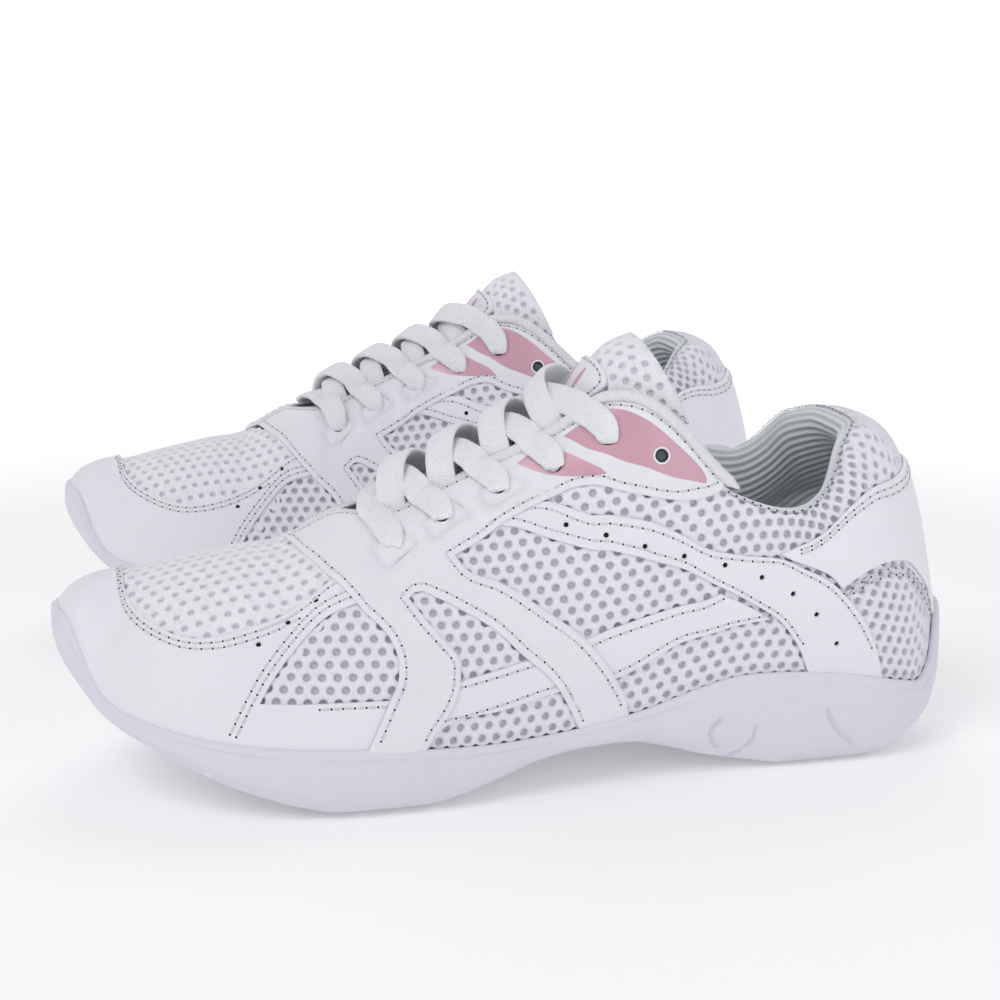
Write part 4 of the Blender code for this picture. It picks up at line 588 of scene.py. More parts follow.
def knit_mat(name, light, dark, scale=1.0):
    N = Nodes(name); vec, (x, y, z) = N.pat()
    sway = N.math("SINE", N.math("MULTIPLY", x, 4.6*scale)); wob = N.noise(vec, .35, 2)
    y2 = N.math("ADD", y, N.math("ADD", N.math("MULTIPLY", sway, .24), N.math("MULTIPLY", wob, 1.1)))
    yarn = N.math("SINE", N.math("MULTIPLY", y2, 11.5*scale)); ply = N.math("SINE", N.math("ADD", N.math("MULTIPLY", x, 15.0), N.math("MULTIPLY", y2, 9.0)))
    h = N.math("ADD", N.math("MULTIPLY", yarn, .5), N.math("MULTIPLY", ply, .22)); h = N.math("ADD", h, N.math("MULTIPLY", N.noise(vec, 2.2, 3), .5))
    # painted shade: the cell walls turn to the dark tone down each hole, darker the deeper they go
    hole_wall_shade = N.math("MINIMUM", N.math("MAXIMUM", N.math("MULTIPLY", N.math("ADD", z, .55), 1.15), 0.0), 1.0)
    thread = N.mix(N.math("MINIMUM", N.math("MAXIMUM", N.math("ADD", N.math("MULTIPLY", yarn, .42), .62), 0.0), 1.0), dark, light)
    col = N.mix(hole_wall_shade, dark, thread)
    return N.set(Base__Color=col, Roughness=.92, Normal=N.bump(h, .00015, .7), Sheen__Weight=.3, Sheen__Roughness=.5, Specular__IOR__Level=.2)
KNIT_M = knit_mat("air_mesh_knit", (.98, .975, 1.0), (.76, .755, .85))
# lighter copy of the knit for the upward-facing vamp and tongue, its dark tone lifted: painted light on the yarn and
# hole walls
KNIT_V = knit_mat("air_mesh_knit_fine", (.985, .98, 1.0), (.84, .835, .905))
def floor_mat(name, a, b):
    N = Nodes(name); vec, (x, y, z) = N.pat()
    w = N.math("MULTIPLY", N.math("SINE", N.math("MULTIPLY", x, 17.0)), N.math("SINE", N.math("MULTIPLY", y, 17.0)))
    col = N.mix(N.math("ADD", N.math("MULTIPLY", w, .4), .5), a, b)
    return N.set(Base__Color=col, Roughness=.95, Normal=N.bump(w, .00015, .7), Specular__IOR__Level=.1)
# backing in a shaded copy for the quarters and a lit copy for the upward-facing vamp and tongue: painted light and
# shade
BACKING = floor_mat("mesh_backing_cloth", (.72, .715, .81), (.84, .835, .92))
BACKING_PAINTED_LIT = floor_mat("mesh_backing_cloth_painted_lit", (.82, .82, .895), (.92, .92, .97))
def simple(name, base, dark, rough, bscale, bdist, detail_scale=60, spec=.4, coat=0.0, sss=0.0):
    N = Nodes(name); o = N.obj(); big = N.noise(o, detail_scale, 4); f = N.noise(o, bscale, 3)
    m = N.set(Base__Color=N.mix(N.math("MULTIPLY", big, .9), dark, base), Roughness=N.math("ADD", rough-.08, N.math("MULTIPLY", f, .16)), Normal=N.bump(f, bdist, .6), Specular__IOR__Level=spec, Coat__Weight=coat, Coat__Roughness=.2)
    if sss: N.set(Subsurface__Weight=sss, Subsurface__Scale=.004)
    return m
def eva():
    N = Nodes("moulded_eva_sole"); o = N.obj(); big = N.noise(o, 22, 4); st = N.voronoi(o, 1500); f = N.noise(o, 420, 4)
    e = N.n("ShaderNodeNewGeometry").outputs["Pointiness"]
    scuff = N.math("MINIMUM", N.math("MAXIMUM", N.math("MULTIPLY", N.math("SUBTRACT", e, .52), 7.0), 0.0), 1.0)
    col = N.mix(N.math("MULTIPLY", big, .9), (.70, .695, .775), (.765, .76, .83)); col = N.mix(scuff, col, (.85, .845, .89))
    # darker and bluer in the concave grooves: painted shade
    concave_shade = N.math("MINIMUM", N.math("MAXIMUM", N.math("MULTIPLY", N.math("SUBTRACT", .485, e), 9.0), 0.0), 1.0); col = N.mix(concave_shade, col, (.56, .555, .64))
    h = N.math("ADD", N.math("MULTIPLY", st, .6), N.math("MULTIPLY", f, .5))
    return N.set(Base__Color=col, Roughness=N.math("ADD", .50, N.math("MULTIPLY", f, .16)), Normal=N.bump(h, .00012, .5), Subsurface__Weight=.08, Subsurface__Scale=.004, Specular__IOR__Level=.35)
EVA = eva()
RUBBER_M = simple("outsole_rubber_pale", (.82, .815, .86), (.74, .735, .79), .62, 900, .00015)
TPU = simple("pink_tpu_gloss", (.66, .375, .455), (.60, .335, .41), .30, 1300, .00005, 45, .5, .25, .05)
# punched holes and needle holes are filled black: painted shade inside the holes
HOLE_SHADE = simple("punched_hole_painted_shade", (.012, .012, .014), (.02, .02, .022), .8, 900, .0001)
# dark discs filling the eyelet openings: painted shade of the open holes
EYELET_SHADE = simple("eyelet_opening_painted_shade", (.10, .115, .125), (.07, .08, .09), .6, 900, .0001)
RING = simple("eyelet_ring_white", (.92, .92, .94), (.86, .86, .89), .35, 900, .00005, 60, .5, .15)
FOAM_M = simple("collar_foam_open_cell", (.88, .87, .78), (.78, .77, .68), .95, 1100, .0006)
BOARD_M = simple("lasting_board_fibre", (.74, .70, .60), (.62, .58, .49), .9, 700, .0003)
STIFF_M = simple("thermoplastic_stiffener_film", (.72, .72, .72), (.62, .62, .62), .55, 600, .0001)
def thread_mat():
    N = Nodes("stitching_thread"); vec, (x, y, z) = N.pat()
    tw = N.math("SINE", N.math("ADD", N.math("MULTIPLY", x, 14.0), N.math("MULTIPLY", y, 4.0)))
    return N.set(Base__Color=N.mix(N.math("ADD", N.math("MULTIPLY", tw, .3), .5), (.60, .60, .65), (.88, .88, .90)), Roughness=.7, Normal=N.bump(tw, .0001, .6), Sheen__Weight=.2)
THREAD = thread_mat()
def lace_mat():
    N = Nodes("woven_flat_lace"); vec, (x, y, z) = N.pat()
    ay = N.math("ABSOLUTE", y); chev = N.math("SINE", N.math("ADD", N.math("MULTIPLY", x, 7.4), N.math("MULTIPLY", ay, 5.2))); cols = N.math("SINE", N.math("MULTIPLY", y, 8.6))
    fuzz = N.noise(vec, 3.0, 4, .7); h = N.math("ADD", N.math("ADD", N.math("MULTIPLY", chev, .5), N.math("MULTIPLY", cols, .28)), N.math("MULTIPLY", fuzz, .9))
    col = N.mix(N.math("MINIMUM", N.math("MAXIMUM", N.math("ADD", N.math("MULTIPLY", N.math("ADD", chev, cols), .18), .62), 0.0), 1.0), (.86, .855, .91), (.96, .96, .98))
    return N.set(Base__Color=col, Roughness=.88, Normal=N.bump(h, .00026, .75), Sheen__Weight=.35, Sheen__Roughness=.4, Specular__IOR__Level=.2)
LACE_M = lace_mat()
def rope_mat():
    N = Nodes("binding_tape"); vec, (x, y, z) = N.pat(); o = N.obj()
    tw = N.math("SINE", N.math("ADD", N.math("MULTIPLY", x, 6.0), N.math("MULTIPLY", z, 2.2))); f = N.noise(o, 1300, 4, .7)
    h = N.math("ADD", N.math("MULTIPLY", tw, .3), f)
    return N.set(Base__Color=N.mix(f, (.72, .72, .74), (.92, .92, .93)), Roughness=.9, Normal=N.bump(h, .0004, .8), Sheen__Weight=.3)
ROPE_M = rope_mat()
def lining_mat():
    N = Nodes("ribbed_lining_cloth"); vec, (x, y, z) = N.pat()
    loops = N.math("MULTIPLY", N.math("SINE", N.math("MULTIPLY", x, 6.2)), N.math("SINE", N.math("MULTIPLY", y, 8.2))); f = N.noise(vec, 2.4, 3)
    # rib troughs painted darker blue-grey: painted shade between the ribs
    rib_trough_shade = N.math("MINIMUM", N.math("MAXIMUM", N.math("MULTIPLY", z, 1.0), 0.0), 1.0)
    col = N.mix(rib_trough_shade, (.66, .715, .74), (.92, .94, .955)); col = N.mix(N.math("MULTIPLY", f, .35), col, (.84, .87, .89))
    return N.set(Base__Color=col, Roughness=.93, Normal=N.bump(N.math("ADD", loops, f), .00016, .7), Sheen__Weight=.2, Specular__IOR__Level=.15)
LINING_M = lining_mat()
def insole_mat():
    N = Nodes("insole_top_cloth"); vec, (x, y, z) = N.pat(); o = N.obj()
    w = N.math("MULTIPLY", N.math("SINE", N.math("MULTIPLY", x, 5.0)), N.math("SINE", N.math("MULTIPLY", y, 5.0))); f = N.noise(o, 500, 3)
    return N.set(Base__Color=N.mix(N.math("ADD", N.math("MULTIPLY", w, .3), .5), (.55, .58, .62), (.72, .75, .79)), Roughness=.95, Normal=N.bump(N.math("ADD", w, f), .0002, .7))
INSOLE_M = insole_mat()

# ---- air-mesh knit: a shell of hexagonal cells, each with its hole ----
def hex_cells(x0, x1, y0, y1, p):
    h = p*math.sqrt(3)/2; C = []
    for j in range(int(math.floor(y0/h))-1, int(math.ceil(y1/h))+2):
        for i in range(int(math.floor(x0/p))-1, int(math.ceil(x1/p))+2): C.append((i*p+(j % 2)*p/2, j*h))
    C = np.array(C); a = np.arange(12)*math.pi/6; r = np.where(np.arange(12) % 2 == 0, p/2, p/math.sqrt(3))
    return C, C[:, None]+np.stack([r*np.cos(a), r*np.sin(a)], -1)[None]
def knit_shell(part, C2, B2, where, hidden, R, crest=KNIT_TOP, depth=.95, thick=1.25, lift=None):
    """where(xy) -> (P, N, pat). Visible cells get a hole, hidden ones stay plain."""
    n = len(C2); key = np.round(B2.reshape(-1, 2)*200).astype(np.int64); uk, first, inv = np.unique(key, axis=0, return_index=True, return_inverse=True)
    inv = inv.reshape(n, 12); U2 = B2.reshape(-1, 2)[first]
    PB, NB, TB = where(U2); PC, NC, TC = where(C2)
    lb = np.zeros(len(U2)) if lift is None else lift(U2); lc = np.zeros(n) if lift is None else lift(C2)
    PB = PB+NB*lb[:, None]; PC = PC+NC*lc[:, None]
    top = PB+NB*crest; bot = PB-NB*thick; m = len(U2)
    V = [top, bot]; T = [np.concatenate([TB[:, :2], np.full((m, 1), crest)], 1), np.concatenate([TB[:, :2], np.full((m, 1), -thick)], 1)]
    G = [(inv[hidden], 0), (inv[:, ::-1]+m, 1)]
    open_ = np.where(~hidden)[0]; k = len(open_)
    if k:
        B, NBc, TBc = PB[inv[open_]], NB[inv[open_]], TB[inv[open_]]; c = PC[open_][:, None]; nc = NC[open_][:, None]; tc = TC[open_][:, None]
        d = np.linalg.norm(B-c, axis=2)[..., None]; base = 2*m; ids = inv[open_]
        # the pat height of each ring also drives the knit's painted shade down the hole walls
        for r, h in ((R*1.30, crest*.86), (R*1.08, crest*.45), (R, -depth*.35), (R*.90, -depth)):
            t = np.minimum(r/np.maximum(d, 1e-6), .86*r/(R*1.30)); Q = c+(B-c)*t; Nn = unit(nc+(NBc-nc)*t)
            V.append((Q+Nn*h).reshape(-1, 3)); T.append(np.concatenate([(tc+(TBc-tc)*t)[..., :2], np.full((k, 12, 1), h)], 2).reshape(-1, 3))
            new = base+np.arange(k*12).reshape(k, 12)
            G.append((np.stack([ids, np.roll(ids, -1, 1), np.roll(new, -1, 1), new], -1).reshape(-1, 4), 0)); ids = new; base += k*12
        G.append((ids, 1))
    # side walls along the border
    e = np.stack([inv, np.roll(inv, -1, 1)], -1).reshape(-1, 2); s = np.sort(e, 1); _, ix, cnt = np.unique(s, axis=0, return_index=True, return_counts=True)
    b = e[ix[cnt == 1]]; G.append((np.stack([b[:, 1], b[:, 0], b[:, 0]+m, b[:, 1]+m], -1), 0))
    part.add(np.concatenate(V), G, np.concatenate(T))
def side_where(sg, x):
    ch = CHART[sg]
    def f(xy):
        s = np.clip(xy[:, 0]/LS, 0.0, 1.0); L = ch.height(s); y = np.clip(xy[:, 1], 0, L)
        v = ch.v_of(s, y)
        P = last(sg, s, v, np.zeros(len(s))); N = last(sg, s, v, np.ones(len(s)))-P
        return P, N, np.stack([xy[:, 0], xy[:, 1], 0*y], -1)
    return f
PITCH = 4.12; HOLE_R = 1.15
def knit_top(s): return np.maximum(np.minimum(quarter_top(s), 1.0), np.interp(s, [.28, .30, .318, .335, .66, .70], [.99, .985, .975, .965, .965, .93]))
for sg, side in ((-1, "lateral"), (1, "medial")):
    ch = CHART[sg]
    C, B = hex_cells(0, .775*LS, 0, 95, PITCH)
    def bound(xy):
        """Pull a point onto the panel's own edges."""
        s = np.clip(xy[:, 0]/LS, 0.0, 1.0); L = ch.height(s); top = ch.y_of(s, knit_top(s))
        y = np.clip(xy[:, 1], 0, top); v = ch.v_of(s, y); s = np.minimum(s, seam_s(v)-.001+.012*np.clip((.5-v)/.1, 0, 1))
        return np.stack([s*LS, y], -1)
    CC = bound(C); keep = np.linalg.norm(CC-C, axis=1) < PITCH*.30; C, B = C[keep], B[keep]
    C = bound(C); B = bound(B.reshape(-1, 2)).reshape(B.shape)
    s = C[:, 0]/LS; v = ch.v_of(s, C[:, 1]); hid = np.ones(len(C), bool)
    for dx, dy in ((0, 0), (3.4, 0), (-3.4, 0), (0, 3.4), (0, -3.4), (2.4, 2.4), (-2.4, -2.4), (2.4, -2.4), (-2.4, 2.4)):
        q = np.clip((C[:, 0]+dx)/LS, 0, 1); hid &= covered(sg, q, np.clip(ch.v_of(q, np.clip(C[:, 1]+dy, 0, ch.height(q))), 0, 1))
    hid |= v < rim_v(sg, s, -1.0)
    part = Parts(); pw = side_where(sg, None)
    def swell(xy, sg=sg, ch=ch):
        s = np.clip(xy[:, 0]/LS, 0, 1); v = ch.v_of(s, np.clip(xy[:, 1], 0, ch.height(s)))
        return swell_out(sg*s, v)*np.clip((.295-s)/.03, 0, 1)*np.where(v > .5, 1, 0)*np.clip(1-1.6*SOFT[sg](s, v), 0, 1)
    knit_shell(part, C, B, pw, hid, HOLE_R, lift=swell)
    part.emit("quarter_knit_"+side, [KNIT_M, BACKING], nodes=["quarter_mesh_"+side], slot="mesh")

# vamp: cells laid out in plan and dropped on the last
vs_, vv_ = np.linspace(.63, 1, 112), np.linspace(0, 1, 61)
tabS = {sg: upper(sg, vs_[:, None], vv_[None]) for sg in (-1, 1)}
def vamp_where(xy):
    mid = np.interp(xy[:, 0], tabS[-1][:, -1, 0], tabS[-1][:, -1, 1]); sgn = np.where(xy[:, 1] < mid, -1, 1); P = np.zeros((len(xy), 3)); N = np.zeros((len(xy), 3)); S = np.zeros(len(xy)); Vv = np.zeros(len(xy))
    for sg in (-1, 1):
        k = np.where(sgn == sg)[0]
        if not len(k): continue
        G = tabS[sg][..., :2].reshape(-1, 2); q = xy[k]; best = np.zeros(len(k), int)
        for a in range(0, len(k), 400): best[a:a+400] = np.argmin(((q[a:a+400, None]-G[None])**2).sum(2), axis=1)
        s = vs_[best//61].copy(); v = vv_[best % 61].copy(); e = 1e-3
        for _ in range(4):
            p0 = upper(sg, s, v)[:, :2]; ds = (upper(sg, np.clip(s+e, 0, 1), v)[:, :2]-upper(sg, np.clip(s-e, 0, 1), v)[:, :2])/np.maximum(np.clip(s+e, 0, 1)-np.clip(s-e, 0, 1), 1e-6)[:, None]
            dv = (upper(sg, s, np.clip(v+e, 0, 1))[:, :2]-upper(sg, s, np.clip(v-e, 0, 1))[:, :2])/np.maximum(np.clip(v+e, 0, 1)-np.clip(v-e, 0, 1), 1e-6)[:, None]
            r = q-p0; det = ds[:, 0]*dv[:, 1]-ds[:, 1]*dv[:, 0]; det = np.where(np.abs(det) < 1e-6, 1e-6, det)
            s = np.clip(s+np.clip((r[:, 0]*dv[:, 1]-r[:, 1]*dv[:, 0])/det, -.01, .01), .63, 1); v = np.clip(v+np.clip((ds[:, 0]*r[:, 1]-ds[:, 1]*r[:, 0])/det, -.03, .03), 0, 1)
        P[k] = upper(sg, s, v); N[k] = upper_n(sg, s, np.minimum(v, .985)); S[k], Vv[k] = s, v
    seam = np.abs(xy[:, 1]-mid) < 1.2; w = np.clip(np.abs(xy[:, 1]-mid)/4.0, 0, 1)[:, None]; flat = N.copy(); flat[:, 1] = 0; N = unit(unit(flat)*(1-w)+N*w)
    vamp_where.sv = (sgn, S, Vv)
    return P, N, np.stack([xy[:, 0], xy[:, 1], 0*xy[:, 0]], -1)
C, B = hex_cells(172, 268, -50, 50, 3.95)
vamp_where(C); g_, s_, v_ = vamp_where.sv; Pc, _, _ = vamp_where(C)
okc = np.linalg.norm(Pc[:, :2]-C, axis=1) < 1.4
okc &= (v_ > .04) & (s_ > seam_s(v_)-.012) & (s_ < .999)
okc &= ~((s_ < .715) & (v_ > .90) & (C[:, 0] < 196))
C, B = C[okc], B[okc]; g_, s_, v_ = g_[okc], s_[okc], v_[okc]
hid = np.ones(len(C), bool)
for dx, dy in ((0, 0), (3.0, 0), (-3.0, 0), (0, 3.0), (0, -3.0)):
    vamp_where(C+np.array([dx, dy])); gg, ss, vv2 = vamp_where.sv; hid &= np.where(gg < 0, covered(-1, ss, vv2), covered(1, ss, vv2))
part = Parts(); knit_shell(part, C, B, vamp_where, hid, 1.02, crest=.36, depth=.75)
part.emit("vamp_knit", [KNIT_V, BACKING_PAINTED_LIT], nodes=["vamp_mesh"], slot="mesh")

# ---- panels: cut sheets with rounded edges ----
def inset_loop(Q, d):
    e = unit(np.roll(Q, -1, 0)-Q); n = np.stack([-e[:, 1], e[:, 0]], -1); m = n+np.roll(n, 1, 0); l = np.linalg.norm(m, axis=1, keepdims=True)
    return Q + np.where(l > 1e-6, m/np.maximum(l, 1e-6), n)*d*np.minimum(2/np.maximum(l, 1e-6), 1.7)
def panel(part, mode, curves, hb, thick, holes=(), rings=(), step=2.4, grid=3.2, edge=(.35, .9), mat=0, dish=None):
    """hb and thick in mm, hb may be a function of (mode, s, v). rings: (loop in (s, v), height step) pressed into the top."""
    Q = resample(curves, step)
    if area2(Q) < 0: Q = Q[::-1]
    loops = [Q]
    for h in holes:
        h = np.asarray(h)*SCALE
        if area2(h) > 0: h = h[::-1]
        loops.append(h)
    ins = [[L, inset_loop(L, edge[0] if k == 0 else min(edge[0], .25)), inset_loop(L, edge[1] if k == 0 else .5)] for k, L in enumerate(loops)]
    pts, edges, tag = [], [], []
    for k, (_, _, L2) in enumerate(ins):
        b = len(pts); pts += list(L2); n = len(L2); edges += [(b+i, b+(i+1) % n) for i in range(n)]; tag += [0.0]*n
    for R_, dh in rings:
        R_ = np.asarray(R_)*SCALE; b = len(pts); pts += list(R_); n = len(R_); edges += [(b+i, b+(i+1) % n) for i in range(n)]; tag += [dh]*n
    A = np.array(pts); lo, hi = ins[0][2].min(0), ins[0][2].max(0); cand = []
    for j, y in enumerate(np.arange(lo[1], hi[1], grid*.866)):
        for x in np.arange(lo[0]+(grid/2 if j % 2 else 0), hi[0], grid): cand.append((x, y))
    cand = np.array(cand) if cand else np.zeros((0, 2))
    if len(cand):
        k = inside(ins[0][2], cand)
        for q in ins[1:]: k &= ~inside(q[2], cand)
        cand = cand[k]
    if len(cand):
        d = np.full(len(cand), 9e9)
        for a in range(0, len(cand), 500): d[a:a+500] = np.linalg.norm(cand[a:a+500, None]-A[None], axis=2).min(1)
        cand = cand[d > grid*.5]
    allp = np.concatenate([A, cand]) if len(cand) else A
    r = delaunay_2d_cdt([Vector(p) for p in allp], edges, [], 0, 1e-6)
    V2 = np.array([tuple(p) for p in r[0]]); T = np.array([list(t) for t in r[2]]); back = {}
    for o, src in enumerate(r[3]):
        for i in src: back[i] = o
    cen = V2[T].mean(1); k = inside(ins[0][2], cen)
    for q in ins[1:]: k &= ~inside(q[2], cen)
    T = T[k]; q = V2[T]; turn = (q[:, 1, 0]-q[:, 0, 0])*(q[:, 2, 1]-q[:, 0, 1])-(q[:, 1, 1]-q[:, 0, 1])*(q[:, 2, 0]-q[:, 0, 0]) < 0; T[turn] = T[turn][:, ::-1]
    used = np.unique(T); dh = np.zeros(len(V2))
    for i, t in enumerate(tag):
        if i in back: dh[back[i]] += t
    if dish is not None: dh = np.where(dh == 0, dish(V2/SCALE), dh)
    def at(xy, off):
        sv = xy/SCALE; base = hb(mode, sv[:, 0], sv[:, 1]) if callable(hb) else np.full(len(sv), float(hb)); return last(mode, sv[:, 0], sv[:, 1], base+off), np.concatenate([xy, (off+np.zeros(len(xy)))[:, None]], 1)
    n = len(V2); Pt, Tt = at(V2, thick+dh); Pb, Tb = at(V2, 0.0); V = [Pt, Pb]; TT = [Tt, Tb]; G = [(T, mat), (T[:, ::-1]+n, mat)]; base = 2*n; start = 0
    for L0, L1, L2 in ins:
        m = len(L0); i2 = np.array([back[start+i] for i in range(m)]); start += m
        ids = [i2]
        for L, h in ((L1, thick-.05), ((L0+L1)/2, thick-.14), (L0, thick-.38), (L0, 0.0)):
            P_, t_ = at(L, h); V.append(P_); TT.append(t_); ids.append(base+np.arange(m)); base += m
        ids.append(i2+n)
        for a, b in zip(ids[:-1], ids[1:]): G.append((np.stack([a, b, np.roll(b, -1), np.roll(a, -1)], -1), mat))
    V = np.concatenate(V); G = drop_flat(V, G); part.P.append(V); TTc = np.concatenate(TT)
    if signed_volume(V, G) < 0: G = [(g[:, ::-1], k) for g, k in G]
    part.G += [(g+part.n, k) for g, k in G]; part.T.append(TTc); part.n += len(V)
    return Q
def hb_of(hb, mode, s, v): return hb(mode, s, v) if callable(hb) else np.full(np.shape(s), float(hb))
def loop_at(mode, c, r, n, off):
    """Circle of radius r on the last around (s, v)."""
    a = np.arange(n)*2*math.pi/n; sg = mode if mode in (-1, 1) else (-1 if (c[0] <= (0 if mode == "heel" else 1)) else 1)
    P, N = lastn(mode, np.array([c[0]]), np.array([c[1]]), off); P, N = P[0], N[0]; e = np.cross(N, [0, 0, 1.0]); e = e/max(np.linalg.norm(e), 1e-6); f = np.cross(N, e)
    return P+r*(np.cos(a)[:, None]*e+np.sin(a)[:, None]*f), P, N
def ring(part, mode, c, R_, r, off, n=16, k=6, mat=0):
    C, P, N = loop_at(mode, c, R_, n, off); a = np.arange(k)*2*math.pi/k; out = unit(C-P)
    V = C[:, None]+r*(np.cos(a)[None, :, None]*out[:, None]+np.sin(a)[None, :, None]*N[None, None])
    i, j = np.meshgrid(np.arange(n), np.arange(k), indexing="ij"); i, j = i.ravel(), j.ravel(); i2, j2 = (i+1) % n, (j+1) % k
    part.add(V.reshape(-1, 3), [(np.stack([i*k+j, i2*k+j, i2*k+j2, i*k+j2], -1), mat)])
# plug: a disc closing a hole; in black or the dark eyelet tone it is painted shade standing in for the hole's inside
def plug(part, mode, c, R_, lo, hi, n=14, mat=0, dome=0.0):
    A, P, N = loop_at(mode, c, R_, n, lo); B, P2, _ = loop_at(mode, c, R_, n, hi); V = np.concatenate([A, B, [P], [P2+N*dome]]); i = np.arange(n); j = (i+1) % n
    part.add(V, [(np.stack([i, j, j+n, i+n], -1), mat), (np.stack([j, i, np.full(n, 2*n)], -1), mat), (np.stack([i+n, j+n, np.full(n, 2*n+1)], -1), mat)])
def round_hole(mode, c, r, n=12):
    sg = mode
    if mode == "toe": sg = -1 if c[0] <= 1 else 1
    if mode == "heel": sg = -1 if c[0] <= 0 else 1
    s = c[0] if mode in (-1, 1) else (abs(c[0]) if mode == "heel" else (c[0] if c[0] <= 1 else 2-c[0]))
    h = hole(sg, s, c[1], r, n)
    if mode == "toe" and c[0] > 1: h = [(2-a, b) for a, b in h]
    if mode == "heel" and sg < 0: h = [(-a, b) for a, b in h]
    return h
SEWN, PITS = Parts(), 0
def sew(mode, line, h, inset=0.0, pitch=3.1, skip=None, closed=False, part=None, w=.34):
    """A row of lock stitches along (s, v) points, at height h over the last."""
    part = part or SEWN; Q = np.asarray(line, float)*SCALE
    if len(Q) > 2 and not closed: Q = smooth(Q, max(60, int(chord(Q)[-1]/.8)))
    elif len(Q) == 2: Q = Q[0]+(Q[1]-Q[0])*np.linspace(0, 1, max(12, int(chord(Q)[-1]/.8)))[:, None]
    if inset:
        if closed: Q = inset_loop(Q, inset); Q = np.concatenate([Q, Q[:1]])
        else:
            t = unit(np.gradient(Q, axis=0)); Q = Q+np.stack([-t[:, 1], t[:, 0]], -1)*inset
    sv = Q/SCALE; base = hb_of(h, mode, sv[:, 0], sv[:, 1]); P, N = lastn(mode, sv[:, 0], sv[:, 1], base)
    sew3(part, P, N, pitch, None if skip is None else skip(sv[:, 0], sv[:, 1]), w)
def sew3(part, P, N, pitch, drop=None, w=.34):
    L = np.concatenate([[0], np.cumsum(np.linalg.norm(np.diff(P, axis=0), axis=1))]); n = int(L[-1]/pitch)
    if n < 1: return
    pitch = L[-1]/n; at = np.arange(n)[:, None]*pitch + np.array([.16, .34, .66, .84])[None]*pitch
    f = lambda A, x: np.stack([np.interp(x, L, A[:, k]) for k in range(3)], -1)
    keep = np.ones(n, bool)
    if drop is not None: keep = ~(np.interp((np.arange(n)+.5)*pitch, L, drop.astype(float)) > .3)
    at = at[keep]; n = len(at)
    if n < 1: return
    C, Nn = f(P, at), unit(f(N, at)); T = unit(f(P, at+.05)-f(P, at-.05)); S_ = np.cross(Nn, T)
    K = 5; a = np.pi*(np.arange(K))/(K-1); R_ = np.array([.55, 1, 1, .55])*w; H_ = np.array([.12, .33, .33, .12]); up = np.array([-.10, .0, .0, -.10])
    V = C[:, :, None]+S_[:, :, None]*(R_[None, :, None, None]*np.cos(a)[None, None, :, None])+Nn[:, :, None]*((H_[None, :, None, None]*np.sin(a)[None, None, :, None])+up[None, :, None, None]-.02)
    V = V.reshape(n, 4*K, 3); q = quads(4, K, 0, True); G = [(q, 0), (np.arange(K)[None], 0), (3*K+np.arange(K)[None, ::-1], 0)]
    allG = [((g[None]+(np.arange(n)*4*K)[:, None, None]).reshape(-1, g.shape[1]), k) for g, k in G]
    pat = np.stack([np.broadcast_to(at[:, :, None], (n, 4, K)), np.broadcast_to(np.cos(a), (n, 4, K)), np.zeros((n, 4, K))], -1).reshape(-1, 3)
    part.add(V.reshape(-1, 3), allG, pat)
    # needle holes, black cones: painted shade in the pits
    x = np.unique(np.concatenate([at[:, 0]-.16*pitch, at[:, 3]+.16*pitch]).round(3)); C, Nn = f(P, x), unit(f(N, x)); T = unit(f(P, x+.05)-f(P, x-.05)); S_ = np.cross(Nn, T); K = 6; a = 2*np.pi*np.arange(K)/K
    R0 = C[:, None]+.35*(np.cos(a)[None, :, None]*T[:, None]+np.sin(a)[None, :, None]*S_[:, None]); V = np.concatenate([R0, (C+Nn*.07)[:, None], (C-Nn*.3)[:, None]], 1); i = np.arange(K); j = (i+1) % K
    G = [(np.stack([i, j, np.full(K, K)], -1), 1), (np.stack([j, i, np.full(K, K+1)], -1), 1)]; m = len(x)
    part.add(V.reshape(-1, 3), [((g[None]+(np.arange(m)*(K+2))[:, None, None]).reshape(-1, 3), k) for g, k in G])
def low_at_rim(sg, up=.035): return lambda s, v: v < rim_v(sg, np.clip(np.abs(s), 0, 1), .15)+up

# toe cap
capP = Parts(); perf = [(.743,.458),(.715,.533),(.688,.592)]
cap_holes = perf+[(2-s, v) for s, v in perf]
panel(capP, "toe", cap_curves(), H1, T1, [round_hole("toe", c, .72) for c in cap_holes], step=2.2, grid=3.0)
for c in cap_holes: ring(capP, "toe", c, .98, .17, H1+T1+.02, mat=2); plug(capP, "toe", c, .80, H1-.05, H1+.25, mat=1)
capP.emit("toe_cap_panel", [LEATHER2, HOLE_SHADE, RING], nodes=["toe_cap"], slot="leather")
HT = H1+T1
def stay_over(sg):
    def f(s, v): return covered(sg, s, v, STAY)
    return f
toe_skip = lambda s, v: np.where(s <= 1, covered(-1, np.clip(s, 0, 1), v, STAY) | (v < rim_v(-1, np.clip(s, 0, 1), 1.2)+.03), covered(1, np.clip(2-s, 0, 1), v, STAY) | (v < rim_v(1, np.clip(2-s, 0, 1), 1.2)+.03))
topline = CAP_TOP[3:]+over_toe(CAP_TOP[3:-1])[::-1]
for d in (1.7, 3.5): sew("toe", topline, HT, inset=-d, skip=toe_skip)
for f in (lambda c: c, over_toe):
    sgn = 1 if f is not over_toe else -1
    sew("toe", f(CAP_TOP[:5]), HT, inset=-1.7*sgn, skip=toe_skip); sew("toe", f(CAP_LEG), HT, inset=-1.7*sgn, skip=toe_skip); sew("toe", f(CAP_LEG), HT, inset=-3.5*sgn, skip=toe_skip)
